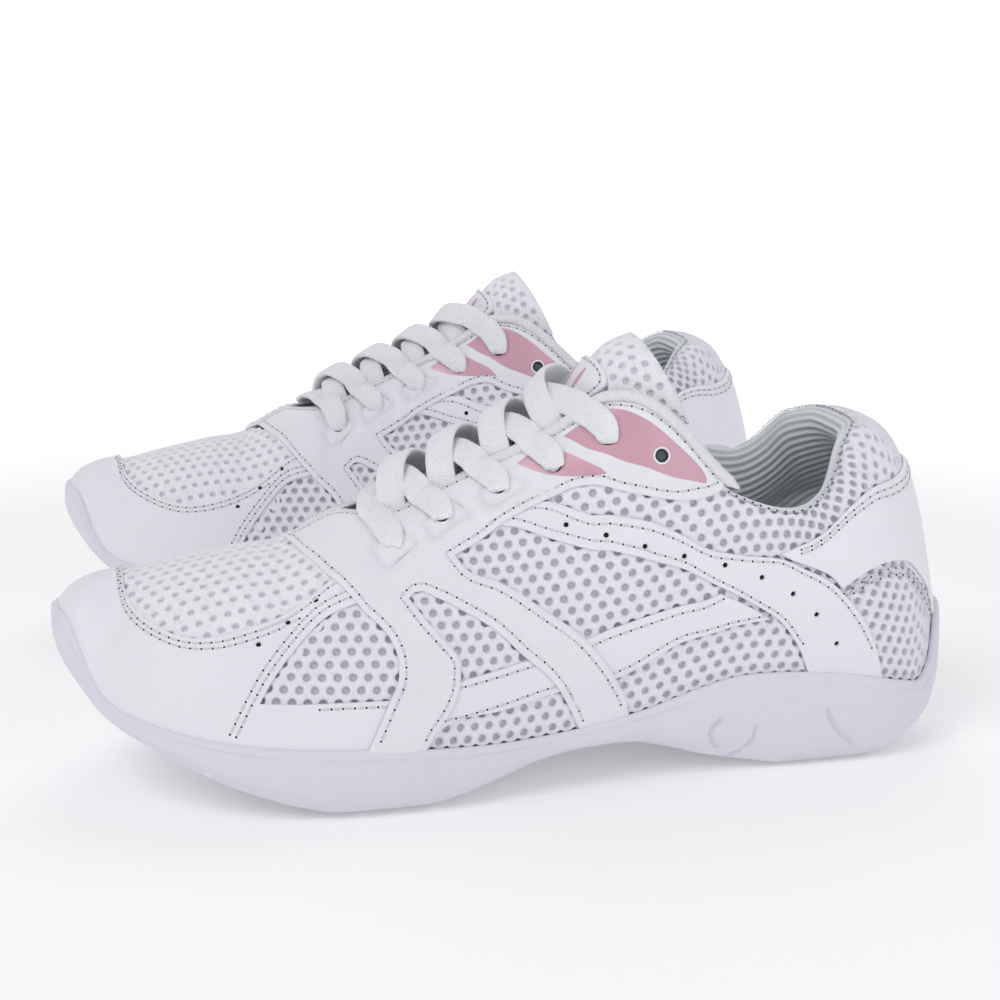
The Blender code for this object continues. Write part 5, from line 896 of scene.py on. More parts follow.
# heel overlay
heP = Parts(); panel(heP, "heel", heel_curves(), H1, T1, step=2.2, grid=3.0); heP.emit("heel_overlay_panel", [LEATHER2], nodes=["heel_overlay"], slot="leather")
for f, sg in ((lambda c: c, 1), (neg, -1)):
    sew("heel", f(HEEL_TOP[1:]), HT, inset=1.7, skip=lambda s, v: np.abs(s) > .235)
    sew("heel", f(HEEL_TOP[1:]), HT, inset=3.4, skip=lambda s, v: np.abs(s) > .230)
    sew("heel", f(HEEL_LOW), HT, inset=1.7, skip=lambda s, v: np.abs(s) > .185); sew("heel", f(HEEL_LOW), HT, inset=3.3, skip=lambda s, v: np.abs(s) > .182)
# eyelet quads pressed into the eyestay, each round its own lace hole
def rounded(poly, r=.55, n=4):
    """Polygon in (s, v) with its corners rounded, r as a share of the shorter edge's half."""
    Q = np.asarray(poly, float)*SCALE; out = []
    for i in range(len(Q)):
        a, b, c = Q[i-1], Q[i], Q[(i+1) % len(Q)]; l = min(np.linalg.norm(a-b), np.linalg.norm(c-b))*.5*r; p, q = b+unit(a-b)*l, b+unit(c-b)*l
        for t in np.linspace(0, 1, n+2): out.append((1-t)**2*p+2*(1-t)*t*b+t*t*q)
    return np.array(out)
QUADS = [[(.633,.775),(.622,.690),(.590,.775),(.612,.872)], [(.585,.845),(.578,.755),(.540,.792),(.560,.900)], [(.530,.872),(.520,.780),(.483,.812),(.508,.912)]]
BAND_PERF = [(.455,.633),(.422,.558),(.388,.525),(.352,.533),(.315,.575),(.278,.558),(.245,.483),(.22,.358),(.20,.192)]
for sg, side in ((-1, "lateral"), (1, "medial")):
    # band and strip
    bp = Parts(); hs = [c for c in BAND_PERF]
    panel(bp, sg, band_curves(sg), H1+.12, T1, [round_hole(sg, c, .72) for c in hs], step=2.2, grid=2.8)
    for c in hs: ring(bp, sg, c, .98, .17, H1+.12+T1+.02, mat=2); plug(bp, sg, c, .80, H1, H1+.35, mat=1)
    bp.emit("side_band_panel_"+side, [LEATHER2, HOLE_SHADE, RING], nodes=["side_band_"+side], slot="leather")
    sk = lambda s, v, sg=sg: covered(sg, s, v, STAY) | low_at_rim(sg)(s, v)
    sew(sg, BAND_TOP, H1+.12+T1, inset=1.7, skip=sk); sew(sg, BAND_LOW[1:], H1+.12+T1, inset=1.7, skip=sk)
    sp = Parts(); panel(sp, sg, strip_curves(sg), H1-.05, T1, step=2.2, grid=2.8); sp.emit("side_strip_panel_"+side, [LEATHER2], nodes=["side_strip_"+side], slot="leather")
    st_sk = lambda s, v, sg=sg: covered(sg, s, v, STAY) | low_at_rim(sg)(s, v) | (s > .70) | (s < .272)
    sew(sg, STRIP_UP, H1-.05+T1, inset=1.6, skip=st_sk); sew(sg, STRIP_LOW, H1-.05+T1, inset=1.6, skip=st_sk)
    # pink eyelet panels, sunk in the wing
    pk = Parts()
    hs = [EYELETS[3]]
    panel(pk, sg, [grow(PINK_SMALL, 1.6)+[grow(PINK_SMALL, 1.6)[0]]], H1, .9, [round_hole(sg, c, 2.3, 16) for c in hs], step=1.8, grid=2.4)
    panel(pk, sg, [grow(PINK_BIG, 1.6)+[grow(PINK_BIG, 1.6)[0]]], H1, .9, [round_hole(sg, EYELETS[4], 2.5, 16), round_hole(sg, EYELETS[5], 2.0, 16)], step=1.8, grid=2.4)
    # the dark discs in the eyelets are painted shade
    plug(pk, sg, EYELETS[5], 2.05, H1-.6, H1+.2, n=20, mat=1); ring(pk, sg, EYELETS[5], 2.25, .30, H1+.95, n=24, k=8, mat=2)
    for c in (EYELETS[3], EYELETS[4]): plug(pk, sg, c, 2.6, H1-1.0, H1+.06, n=16, mat=1)
    pk.emit("eyelet_panels_"+side, [TPU, EYELET_SHADE, RING], nodes=["eyelet_panel_small_"+side, "eyelet_panel_large_"+side], slot="pink")
    # eyestay
    es = Parts(); holes = [round_hole(sg, EYELETS[k], 2.3, 16) for k in (0, 1, 2)]
    for p in (PINK_BIG, PINK_SMALL): holes.append([tuple(x) for x in resample([p+[p[0]]], 2.0)/SCALE])
    rings = []
    for q in QUADS:
        R0 = rounded(q)
        if area2(R0) < 0: R0 = R0[::-1]
        for d, dh in ((-.55, .0), (-.18, -.52), (.18, -.55), (.60, -.14)): rings.append((inset_loop(R0, d)/SCALE, dh if dh else .001))
    quad_in = [inset_loop(rounded(q) if area2(rounded(q)) > 0 else rounded(q)[::-1], .75) for q in QUADS]
    def dish(sv): return np.where(np.any([inside(q, sv*SCALE) for q in quad_in], axis=0), -.12, 0.0)
    panel(es, sg, stay_curves(sg), h2, 1.0, holes, rings, step=2.0, grid=2.6, dish=dish)
    # the dark disc in each lace eyelet is painted shade
    for k in (0, 1, 2): ring(es, sg, EYELETS[k], 2.45, .28, float(h2(sg, np.array([EYELETS[k][0]]), np.array([EYELETS[k][1]]))[0])+.88, n=24, k=8, mat=2); plug(es, sg, EYELETS[k], 2.6, -.9, .54, n=16, mat=1)
    es.emit("eyestay_panel_"+side, [LEATHER, EYELET_SHADE, RING], nodes=["eyestay_"+side], slot="leather")
    top2 = lambda mode, s, v: h2(mode, s, v)+1.0
    loop = outline(stay_curves(sg)); L = loop*SCALE
    if area2(L) < 0: L = L[::-1]
    inn = inset_loop(L, 1.8)/SCALE
    near_top = inn[:, 1] > .955
    k0 = int(np.argmax(near_top)); inn = np.roll(inn, -k0, axis=0); inn = np.concatenate([inn, inn[:1]])
    base = hb_of(top2, sg, inn[:, 0], inn[:, 1]); Pp, Nn = lastn(sg, inn[:, 0], inn[:, 1], base)
    ln = chord(inn*SCALE); xs = np.linspace(0, ln[-1], int(ln[-1]/.8)); Pp = np.stack([np.interp(xs, ln, Pp[:, k]) for k in range(3)], -1); Nn = np.stack([np.interp(xs, ln, Nn[:, k]) for k in range(3)], -1); ss = np.interp(xs, ln, inn[:, 0]); vv = np.interp(xs, ln, inn[:, 1])
    sew3(SEWN, Pp, Nn, 3.1, low_at_rim(sg, .03)(ss, vv) | (vv > .985))
    # rope binding over the wing and down the throat's edge
    s = np.linspace(.300, .535, 70); v = np.ones(70); E, Nn = lastn(sg, s, v*.992, 0.0); C = E+Nn*(1.3+.5*np.clip((s-.40)/.04, 0, 1))[:, None]; C[:, 2] += np.interp(s, [.30, .40, .44, .535], [1.5, 1.5, .3, -.4])
    T = unit(np.gradient(C, axis=0)); U = unit(Nn-T*np.sum(Nn*T, axis=1)[:, None]); W = np.cross(T, U); r = 1.55*np.clip(np.minimum((s-.298)/.012, (.537-s)/.02), .25, 1)
    Pr, Gr, Tr = tube(C, U, W, r, r*1.05, 14); rp = Parts(); rp.add(Pr, Gr, Tr)
    # flat tape from there to the foot of the throat
    s = np.linspace(.525, .705, 50); E, Nn = lastn(sg, s, np.full(50, .995), 0.0); hh = h2(sg, s, np.full(50, .98)); C = E+Nn*(hh+.45)[:, None]; T = unit(np.gradient(C, axis=0)); U = unit(Nn-T*np.sum(Nn*T, axis=1)[:, None]); W = np.cross(T, U)
    Pr, Gr, Tr = tube(C, U, W, .62*np.clip(np.minimum((s-.524)/.01, (.706-s)/.01), .3, 1), 1.7, 12, .75); rp.add(Pr, Gr, Tr)
    rp.emit("topline_binding_"+side, [ROPE_M], nodes=["topline_piping_"+side], slot="leather")

# ---- lining: ribbed cloth, from under the insole up, over the padded roll to its seam ----
tl = both(np.concatenate([np.linspace(0, .30, 61), np.linspace(.305, .60, 50)]))
sa = np.abs(tl); qt = np.where(sa < .29, np.minimum(quarter_top(sa), 1.0), np.interp(sa, [.29, .31, .34, .62], [1.0, .965, .93, .92]))
rows = []
for vq in np.linspace(.06, .50, 60):
    v = vq*qt; k = np.clip((vq-.20)/.25, 0, 1); v = v+(lift_v(tl, v)-v)*k*k*(3-2*k); rows.append(last("heel", tl, v, lining_off(tl, np.minimum(v, .5))-.9*np.clip((sa-.33)/.04, 0, 1)))
inner = np.array(rows)                                         # (60, nt, 3)
near = np.clip((.335-sa)/.03, 0, 1); A1, N1 = lastn("heel", tl, qt, .5*near-1.9*(1-near)); A0, _ = lastn("heel", tl, qt-.03, .5*near-1.9*(1-near)); B1 = inner[-1]
Tv = unit(A1-A0); curl = np.clip(1-Tv[:, 2]*1.15, 0, 1)[:, None]; flat_n = N1.copy(); _, NB = lastn("heel", tl, np.full(len(tl), .5), 0.0); NB = NB.copy(); NB[:, 2] = 0; NB = unit(NB); flat_n[:, 2] = 0; flat_n = np.where(np.linalg.norm(flat_n, axis=1, keepdims=True) > .3, unit(flat_n), NB)
fat = (pad_depth(np.minimum(sa, .29), np.full(len(tl), .8))/6.2*np.clip((.385-sa)/.05, 0, 1))[:, None]; puffed = swell_in(tl, np.full(len(tl), .75))[:, None]*near[:, None]
far = np.linalg.norm(A1-B1, axis=1, keepdims=True); C1 = B1+unit(inner[-1]-inner[-4])*far*.36-NB*(8.0*fat+.8*puffed); C2 = A1+Tv*(2.2+6.2*curl)*(.25+.75*near[:, None])-NB*(1.0+3.2*(1-curl))*near[:, None]
C2[:, 2] -= (2.6*curl*near[:, None])[:, 0]
prof = np.concatenate([inner, np.array([(1-q)**3*B1+3*(1-q)**2*q*C1+3*(1-q)*q*q*C2+q**3*A1 for q in np.linspace(0, 1, 91)[1:]])])   # from the foot to the seam
l = np.concatenate([np.zeros((1, len(tl))), np.cumsum(np.linalg.norm(np.diff(prof, axis=0), axis=2), axis=0)])
nr = 300; RIB = 2.35
outP = np.zeros((nr, len(tl), 3))
for j in range(len(tl)):
    x = np.linspace(0, l[-1, j], nr)
    for c in range(3): outP[:, j, c] = np.interp(x, l[:, j], prof[:, j, c])
for c in range(3):                                             # take the kinks out along the profile
    for _ in range(3): outP[1:-1, :, c] = (outP[:-2, :, c]+outP[2:, :, c]+2*outP[1:-1, :, c])/4
lev = np.cumsum(np.concatenate([np.zeros((1, len(tl))), np.linalg.norm(np.diff(outP, axis=0), axis=2)]), axis=0); soft = np.clip((lev[-1][None]-lev)/5, 0, 1)[..., None]
for _ in range(26):                                            # and round the tight corners beside the heel
    E = outP.copy(); E[:, 1:-1] = (outP[:, :-2]+outP[:, 2:]+2*outP[:, 1:-1])/4; outP = outP+(E-outP)*soft
du = np.gradient(outP, axis=0); dv = np.gradient(outP, axis=1); Nl = unit(np.cross(du, dv))
mid_ = outP.mean(axis=1, keepdims=True); 
if np.sum(Nl[40]*(mid_[40]-outP[40])) < 0: Nl = -Nl
lev = np.cumsum(np.concatenate([np.zeros((1, len(tl))), np.linalg.norm(np.diff(outP, axis=0), axis=2)]), axis=0); from_top = lev[-1][None]-lev
wave = np.cos(from_top*2*np.pi/RIB); ribh = .34*np.sign(wave)*np.abs(wave)**.8
endf = np.clip(from_top/1.2, 0, 1)
face = outP+Nl*(ribh*endf)[..., None]
back_ = outP-Nl*.9
Pl, Gl = closed_grid(face, back_)
# the pat height carries rib crest to trough for the lining's painted shade
S2 = np.broadcast_to(tl*LS, (nr, len(tl))); pat = np.concatenate([np.stack([S2, from_top, np.clip((wave+1)*.55, 0, 1)], -1).reshape(-1, 3)]*2)
ln_ = Parts(); ln_.add(Pl, Gl, pat)
ln_.emit("ribbed_lining", [LINING_M], nodes=["collar_lining"], slot="knit")
# seam stitches where the lining meets the outer knit
k = sa < .312; Ps, Ns = lastn("heel", tl[k], qt[k]*.985, 1.15+swell_out(tl[k], np.full(k.sum(), .985))*.3-.35); o_ = np.argsort(tl[k]); sew3(SEWN, Ps[o_], Ns[o_], 2.6, w=.26)
# foam core, kept clear of the cloth it swells
P_, G_ = closed_grid(foam_faces(INSIDE-.2), foam_faces(lambda t, v: INSIDE-.9-.45*pad_depth(np.abs(t), v)))
fm = Parts(); fm.add(P_, G_); fm.emit("collar_foam_core", [FOAM_M], nodes=["collar_padding"], slot="foam")

# ---- tongue: padded knit, bound edges, stitched label ----
tt = Parts(); tc = np.array(T_LINE, float); TLEN = chord(tc)[-1]
C, B = hex_cells(0, TLEN, -36, 36, 4.2)
def thalf(u): return hermite(chord(tc)/chord(tc)[-1], np.array(T_HALF, float), u)
def tb_(xy):
    u = np.clip(xy[:, 0]/TLEN, 0.0, 1.0); hw = thalf(u)-1.2; return np.stack([u*TLEN, np.clip(xy[:, 1], -hw, hw)], -1)
def t_where(xy):
    u = np.clip(xy[:, 0]/TLEN, 0, 1); w = xy[:, 1]/thalf(u); P0 = tongue(u, w, 0*u); N0 = unit(tongue(u, w, -1+0*u)-P0)
    return P0-N0*.35, N0, np.stack([xy[:, 0], xy[:, 1], 0*u], -1)
CC = tb_(C); keep = np.linalg.norm(CC-C, axis=1) < 2.2; C, B = tb_(C[keep]), tb_(B[keep].reshape(-1, 2)).reshape(-1, 12, 2)
U0, W0 = C[:, 0]/TLEN, C[:, 1]/thalf(C[:, 0]/TLEN)
hid = (U0 > .985) | (np.abs(W0) > .93) | (U0 < .10)
t_lift = lambda xy: tongue_out(np.clip(xy[:, 0]/TLEN, 0, 1), np.clip(xy[:, 1]/thalf(np.clip(xy[:, 0]/TLEN, 0, 1)), -1, 1))
knit_shell(tt, C, B, t_where, hid, 1.08, crest=.34, depth=.7, thick=.8, lift=t_lift)
# its lining side, swelling the other way
UB, WB = np.meshgrid(np.linspace(.03, .995, 90), np.linspace(-.96, .96, 31), indexing="ij")
dpt = tongue_pad(UB, WB)+tongue_in(UB, WB); bf = tongue(UB, WB, dpt); bn = tongue(UB, WB, np.maximum(dpt-.9, 1.0))
Pb, Gb = closed_grid(bf, bn); tt.add(Pb, [(g, 2) for g, _ in Gb], np.concatenate([np.stack([UB*TLEN, WB*20, 1+0*UB], -1).reshape(-1, 3)]*2))
# core between the two faces
UC, WC = UU*.93+.035, WW*.88; P_, G_ = closed_grid(tongue(UC, WC, 1.75+0*UC-.4*tongue_out(UC, WC)), tongue(UC, WC, np.maximum(tongue_pad(UC, WC)-1.2, 2.3)))
tt.add(P_, [(g, 3) for g, _ in G_])
# bound edge right round
u1 = np.concatenate([np.linspace(.06, .985, 60), np.full(18, .998), np.linspace(.985, .06, 60)]); w1 = np.concatenate([np.full(60, 1.0), np.linspace(.93, -.93, 18), np.full(60, -1.0)])
dep = .9+0*u1; Cb = tongue(u1, w1*.992, dep); Cb, _ = smooth_to(Cb, 170)
Cm = tongue(np.minimum(u1, .955), w1*.93, dep); Cm, _ = smooth_to(Cm, 170); T = unit(np.gradient(Cb, axis=0)); out_ = Cb-Cm; W = unit(out_-T*np.sum(out_*T, axis=1)[:, None]); U = np.cross(W, T)
Pe, Ge, Te = tube(Cb, U, W, 1.95, 1.35, 12, .8); tt.add(Pe, [(g, 4) for g, _ in Ge], Te)
tt.emit("tongue_padded", [KNIT_V, BACKING_PAINTED_LIT, LINING_M, FOAM_M, ROPE_M], nodes=["tongue"], body="tongue", slot="mesh")
# label patch
lb = Parts(); ou, ow = [], []; LU = .822
for a in np.linspace(0, 2*np.pi, 56, endpoint=False):
    c_, s_ = math.cos(a), math.sin(a); ou.append(LU+.060*np.sign(c_)*abs(c_)**.55); ow.append(.46*np.sign(s_)*abs(s_)**.6)
ou, ow = np.array(ou), np.array(ow)
def lab(u, w, h): return tongue(u, w, -(h+.36+tongue_out(u, w)))
layers = []
LR = ((1.0, 0.0), (1.0, .9), (.985, 1.12), (.955, 1.22), (.87, 1.23), (.75, 1.24), (.62, 1.25), (.5, 1.25), (.38, 1.25), (.26, 1.25), (.13, 1.25)); NL_ = len(LR)
for sc_, h in LR: layers.append(lab(LU+(ou-LU)*sc_, ow*sc_, h+0*ou))
M_ = 56; V = np.concatenate(layers+[lab(np.array([LU]), np.array([0.0]), np.array([1.25])), lab(np.array([LU]), np.array([0.0]), np.array([0.0]))]); G = [(quads(NL_, M_, 0, True), 0)]
i = np.arange(M_); j = (i+1) % M_; G += [(np.stack([(NL_-1)*M_+j, (NL_-1)*M_+i, np.full(M_, NL_*M_)], -1), 0), (np.stack([i, j, np.full(M_, NL_*M_+1)], -1), 0)]
lb.add(V, G)
Ps = lab(LU+(ou-LU)*.84, ow*.88, 1.24+0*ou); Ps = np.concatenate([Ps, Ps[:1]]); Nn = unit(lab(np.append(ou, ou[0]), np.append(ow, ow[0]), 3.0)-lab(np.append(ou, ou[0]), np.append(ow, ow[0]), 2.0)); lc_, ex = Ps, Nn
ll = np.concatenate([[0], np.cumsum(np.linalg.norm(np.diff(Ps, axis=0), axis=1))]); xs = np.linspace(0, ll[-1], 200); Pp = np.stack([np.interp(xs, ll, Ps[:, k]) for k in range(3)], -1); Nn = np.stack([np.interp(xs, ll, Nn[:, k]) for k in range(3)], -1)
sw = Parts(); sew3(sw, Pp, Nn, 2.3, w=.26); lb.P += sw.P; lb.G += [(g+lb.n, k+2) for g, k in sw.G]; lb.T += sw.T; lb.n += sw.n
for w0 in (-.12, .12):                                         # two plain pink bars
    u2 = np.linspace(LU-.028, LU+.032, 14); c = lab(u2, np.full(14, w0), 1.30+0*u2); T = unit(np.gradient(c, axis=0)); U = unit(lab(u2, np.full(14, w0), 3.0+0*u2)-lab(u2, np.full(14, w0), 2.0+0*u2)); W = np.cross(T, U)
    e_ = np.sin(np.linspace(.12, math.pi-.12, 14))**.35; P_, G_, T_ = tube(c, U, W, .22*e_, .85*e_, 10, .8); lb.add(P_, [(g, 1) for g, _ in G_], T_)
lb.emit("tongue_label_patch", [LEATHER2, TPU, THREAD, HOLE_SHADE], nodes=["tongue_label"], body="tongue", slot="leather")
# marks moulded into the cup wall, as lines of (a, z), half width and depth (raised when negative)
SOLE_GROOVES = [
    ([(79.4,16.6),(81.4,15.1),(81.9,12.8),(80.9,10.0),(79.0,7.8)], 1.25, 1.0), ([(68.0,13.8),(68.4,11.2),(69.7,8.3),(71.9,5.8),(74.9,3.9)], 1.1, .95),
    ([(46.0,17.5),(45.6,15.6),(43.6,12.6),(40.5,9.1),(36.1,5.4)], 1.3, 1.0), ([(46.0,17.6),(39.5,16.6),(32.1,15.0)], 1.6, .35), ([(81.0,15.6),(74.5,16.0),(68.0,13.9)], 1.4, .30),
    ([(128.8,14.0),(128.8,10.2)], .75, -.75), ([(139.6,12.6),(139.6,9.2)], .75, -.75),
    ([(119.2,13.4),(118.4,11.2),(116.0,10.4),(113.7,11.0),(112.9,12.6)], .75, -.6), ([(108.9,12.6),(107.6,10.4),(105.0,9.6),(102.4,10.2),(101.2,11.6)], .75, -.6)]

def LAMPS():
    lamp("key_soft", (-1.0, -.9, 1.6), (0, 0, .04), 1.1, 10.2, (1.0, .99, .98))
    lamp("fill_front", (.9, -1.5, .7), (0, 0, .05), 1.4, 4.2, (.96, .965, 1.0))
    lamp("back_top", (.3, 1.1, 1.5), (0, 0, .05), 1.4, 6.0, (1.0, 1.0, 1.0))

# ---- laces: flat woven, crossing over the tongue, into each eyelet from outside ----
lc = Parts(); LW = 4.15
def strand(pts, wid, thk, nrm, n=54, off=0.0):
    C, (w, t, N) = smooth_to(np.array(pts), n, (wid, thk, nrm)); T = unit(np.gradient(C, axis=0)); U = unit(N-T*np.sum(N*T, axis=1)[:, None]); W = np.cross(T, U)
    P, G, Tt = tube(C, W, U, w, t, 20, .62); K = 20; a = 2*np.pi*np.arange(K)/K
    L = np.concatenate([[0], np.cumsum(np.linalg.norm(np.diff(C, axis=0), axis=1))])
    ac = np.sign(np.cos(a))*np.abs(np.cos(a))**.62
    pat = np.stack([np.repeat(L, K), (w[:, None]*ac[None]).ravel(), np.tile(np.sin(a), len(C))], -1)
    lc.add(P, G, pat)
ES = [c[0] for c in EYELETS[:5]]; EV = [c[1] for c in EYELETS[:5]]
def edge_pt(sg, s, h, v=.995): P, N = lastn(sg, np.array([s]), np.array([v]), h); return P[0], N[0]
TCH = chord(tc)/chord(tc)[-1]
def tongue_u(a): return float(np.interp(-a, -hermite(TCH, tc, np.linspace(0, 1, 200))[:, 0], np.linspace(0, 1, 200)))
def ridge_pt(a, w, h): u = tongue_u(a); U_ = np.array([u]); P = tongue(U_, np.array([w]), np.array([-h])); N = unit(P-tongue(U_, np.array([w]), np.array([-h+1.0]))); return P[0], N[0]
def a_of(sg, s): return float(np.interp(s, SIDE[sg].g, SIDE[sg].E[:, 0]))
def eye(sg, k, h, ds=0.0, dv=0.0): P, N = lastn(sg, np.array([ES[k]+ds]), np.array([EV[k]+dv]), h); return P[0], N[0]
OVER = ((0, -1.0), (.07, 2.4), (.18, 6.2), (.34, 9.4), (.5, 10.6), (.66, 10.0), (.80, 8.0), (.92, 5.4))
UNDER = ((0, -1.0), (.07, 2.6), (.18, 5.8), (.34, 7.3), (.5, 7.0), (.66, 6.0), (.80, 4.5), (.92, 3.0))
def clear_of_tongue(p, gap):
    """Keeps a point of the lace off the tongue."""
    u = tongue_u(p[0]); w = float(np.clip(p[1]/hermite(TCH, np.array(T_HALF, float), np.array([u]))[0], -1, 1)); U_, W_ = np.array([u]), np.array([w])
    S0 = tongue(U_, W_, -tongue_out(U_, W_)-.4)[0]; n = unit(S0-tongue(U_, W_, np.array([3.0]))[0]); d = float(np.dot(p-S0, n))
    return p+n*max(gap-d, 0.0)
def crossing(k, sg, arch):
    """Up from under the far eyestay's edge, over the tongue, down into eyelet k on side sg."""
    s_to = ES[k]+.014; s_from = ES[k-1]-.004 if k else ES[k]+.008
    pts, wid, thk, nn = [], [], [], []
    def put(PN, w, t): pts.append(PN[0]); wid.append(w); thk.append(t); nn.append(PN[1])
    (A, NA), (B, NB) = edge_pt(-sg, s_from, .6), edge_pt(sg, s_to, 1.6); n = NA+NB; n[1] = 0; n = unit(n)
    if k: put(edge_pt(-sg, s_from+.002, -2.6, .90), LW*.85, 1.0); put(edge_pt(-sg, s_from, -2.0, .965), LW*.92, 1.05)
    else: put(eye(-sg, 0, -1.6), 2.2, 1.8); put(eye(-sg, 0, 1.2), 2.9, 1.6); put(eye(-sg, 0, 3.5, .000, .035), 3.7, 1.25); put(edge_pt(-sg, ES[0]+.004, 4.4, .955), LW, 1.15)
    for f, h in arch:
        if (k and f == 0) or (not k and f < .15): continue
        p = A+(B-A)*f+n*h; side = (1-2*f)*-sg
        put((clear_of_tongue(p, 1.7), unit(n+np.array([0, side*.9, 0]))), LW, 1.15)
    hs = float(h2(sg, np.array([ES[k]]), np.array([EV[k]]))[0])
    put(edge_pt(sg, s_to, hs+2.3, .985), LW, 1.15); put(edge_pt(sg, (s_to+ES[k])/2+.001, hs+2.1, (EV[k]+.995)/2+.015), LW, 1.2)
    put(eye(sg, k, hs+1.95, .0005, .018), LW*.90, 1.35); put(eye(sg, k, hs+1.2, -.0005, -.008), LW*.72, 1.7); put(eye(sg, k, -.3, .0, -.004), 2.3, 1.7); put(eye(sg, k, -1.6, .0, .01), 2.2, 1.6)
    strand(pts, wid, thk, nn)
crossing(0, -1, [(f, h*.62) for f, h in UNDER])
for k in range(1, 5): crossing(k, 1, OVER); crossing(k, -1, UNDER)
# runs inside, from each eyelet to where the next crossing comes up, and the two tucked ends
for sg in (-1, 1):
    for k in range(4):
        pts, nn = [], []
        for PN in (eye(sg, k, -1.5, .0, .01), eye(sg, k, -2.6, .001, .045), edge_pt(sg, ES[k]+.003, -2.9, .89), edge_pt(sg, ES[k]+.002, -2.6, .91)): pts.append(PN[0]); nn.append(PN[1])
        strand(pts, [2.2, 3.2, 3.5, 3.5], [1.4, .9, .9, .9], nn, 16)
    pts, nn = [], []
    for PN in (eye(sg, 4, -1.5, .0, .01), eye(sg, 4, -2.4, .006, -.06), eye(sg, 4, -2.6, .016, -.16), eye(sg, 4, -2.8, .03, -.26)): pts.append(PN[0]); nn.append(PN[1])
    strand(pts, [2.2, 3.0, 3.4, 2.2], [1.4, 1.0, .9, 1.1], nn, 24)
lc.emit("flat_lace", [LACE_M], nodes=["lace"], slot="lace")
SEWN.emit("stitching", [THREAD, HOLE_SHADE], slot="leather")

# ---- sole: one moulding, cup wall with its grooves, toe bumper, heel strip and underside ----
def seg_dist(a, z, line):
    best = np.full(np.shape(a), 9e9)
    for (x0, y0), (x1, y1) in zip(line[:-1], line[1:]):
        dx, dy = x1-x0, y1-y0; t = np.clip(((a-x0)*dx+(z-y0)*dy)/(dx*dx+dy*dy), 0, 1); best = np.minimum(best, np.hypot(a-(x0+t*dx), z-(y0+t*dy)))
    return best
def bend(points, n=24): return [tuple(p) for p in smooth(points, n)]
def wall_dent(sg, a, z, w):
    d = np.zeros(np.shape(a))
    for line, width, depth in SOLE_GROOVES:
        q = np.clip(1-seg_dist(a, z, line)/width, 0, 1); q = q*q*(3-2*q); d = np.where(q > 0, (np.maximum if depth > 0 else np.minimum)(d, depth*np.minimum(q*1.3, 1)), d)
    strip = np.clip((58-a)/1.5, 0, 1)*np.clip((a-25.5)/1.5, 0, 1)*np.clip((4.3-z)/.5, 0, 1); d = d+strip*(.35+.30*np.sin(a*2*np.pi/1.9)*np.sin(z*2*np.pi/1.7))
    lip = np.clip(1-np.abs(w-.10)/.035, 0, 1)*.35
    return d+lip
NS = 420
S_F = np.unique(np.concatenate([stations(NS), np.linspace(.03, .33, 170), np.linspace(.955, 1, 30)]).round(6))
NW = 44
def fine_sole(sg, S):
    o = SIDE[sg].out(S); zt = zrim(o[:, 0]); zb = zbot(o[:, 0]); c = spine(S); R, Wt = [], []
    def put(off, zf, w=-1.0):
        p = inset(sg, S, np.broadcast_to(np.asarray(off, float), S.shape)) if off is not None else c
        R.append(np.concatenate([p, (zf(p) if callable(zf) else zf)[:, None]], 1)); Wt.append(w)
    fl = lambda p: zfloor(p[:, 0]); flr = lambda p: np.minimum(zfloor(p[:, 0]), zt-3.4)
    put(None, fl); put(24, fl); put(12, fl); put(7, flr); put(5.6, flr); put(4.4, lambda p: np.minimum(zfloor(p[:, 0])+1.2, zt-3.0)); put(3.1, lambda p: zt-2.6); put(2.75, lambda p: zt-1.3)
    put(2.5, lambda p: zt-.45); put(2.15, lambda p: zt-.12); put(1.6, zt); put(1.05, zt-.05); put(.62, zt-.35); put(.36, zt-.85)
    tall = np.clip((zt-zb)/16, .6, 2.2)
    for i in range(NW):
        w = (i+1)/NW; off = np.interp(w, [0, .08, .25, .5, .72, .88, 1], [.34, .12, .0, .0, .75, 2.2, 4.2]); z = zt-1.1+(zb+1.5-(zt-1.1))*w
        zz = z; d = wall_dent(sg, o[:, 0], zz, w)*np.clip((zt-zb-6)/6, 0, 1)
        put(off+d, (lambda zz: (lambda p: zbot(p[:, 0])+(zz-zb)))(zz) if w > .72 else zz, w)
    for off, dz in ((5.6, .85), (7.5, .45), (10, .18), (12.5, .03), (15, 0), (20, 0), (26, 0)):
        put(off, (lambda dz: (lambda p: zbot(p[:, 0])+dz+groove_below(p)))(dz))
    put(None, lambda p: zbot(p[:, 0])+groove_below(p))
    return np.array(R)
def groove_below(p):
    a = p[:, 0]; g = np.zeros(len(a))
    for x in (150, 160, 170, 180, 190, 200, 210): g = np.maximum(g, 1.3*np.clip(1.6-np.abs(a-x)/1.3, 0, 1))
    return g
fs = Parts()
RL, RM = fine_sole(-1, S_F), fine_sole(1, S_F); nrw, nst = RL.shape[:2]
P_ = np.concatenate([RL.reshape(-1, 3), RM.reshape(-1, 3)]); G_ = [(quads(nrw, nst), 0), (quads(nrw, nst, nrw*nst)[:, ::-1], 0)]
key = np.round(P_*1e4).astype(np.int64); uk, first, inv = np.unique(key, axis=0, return_index=True, return_inverse=True); inv = inv.ravel()
fs.add(P_[first], [(inv[g], k) for g, k in G_])
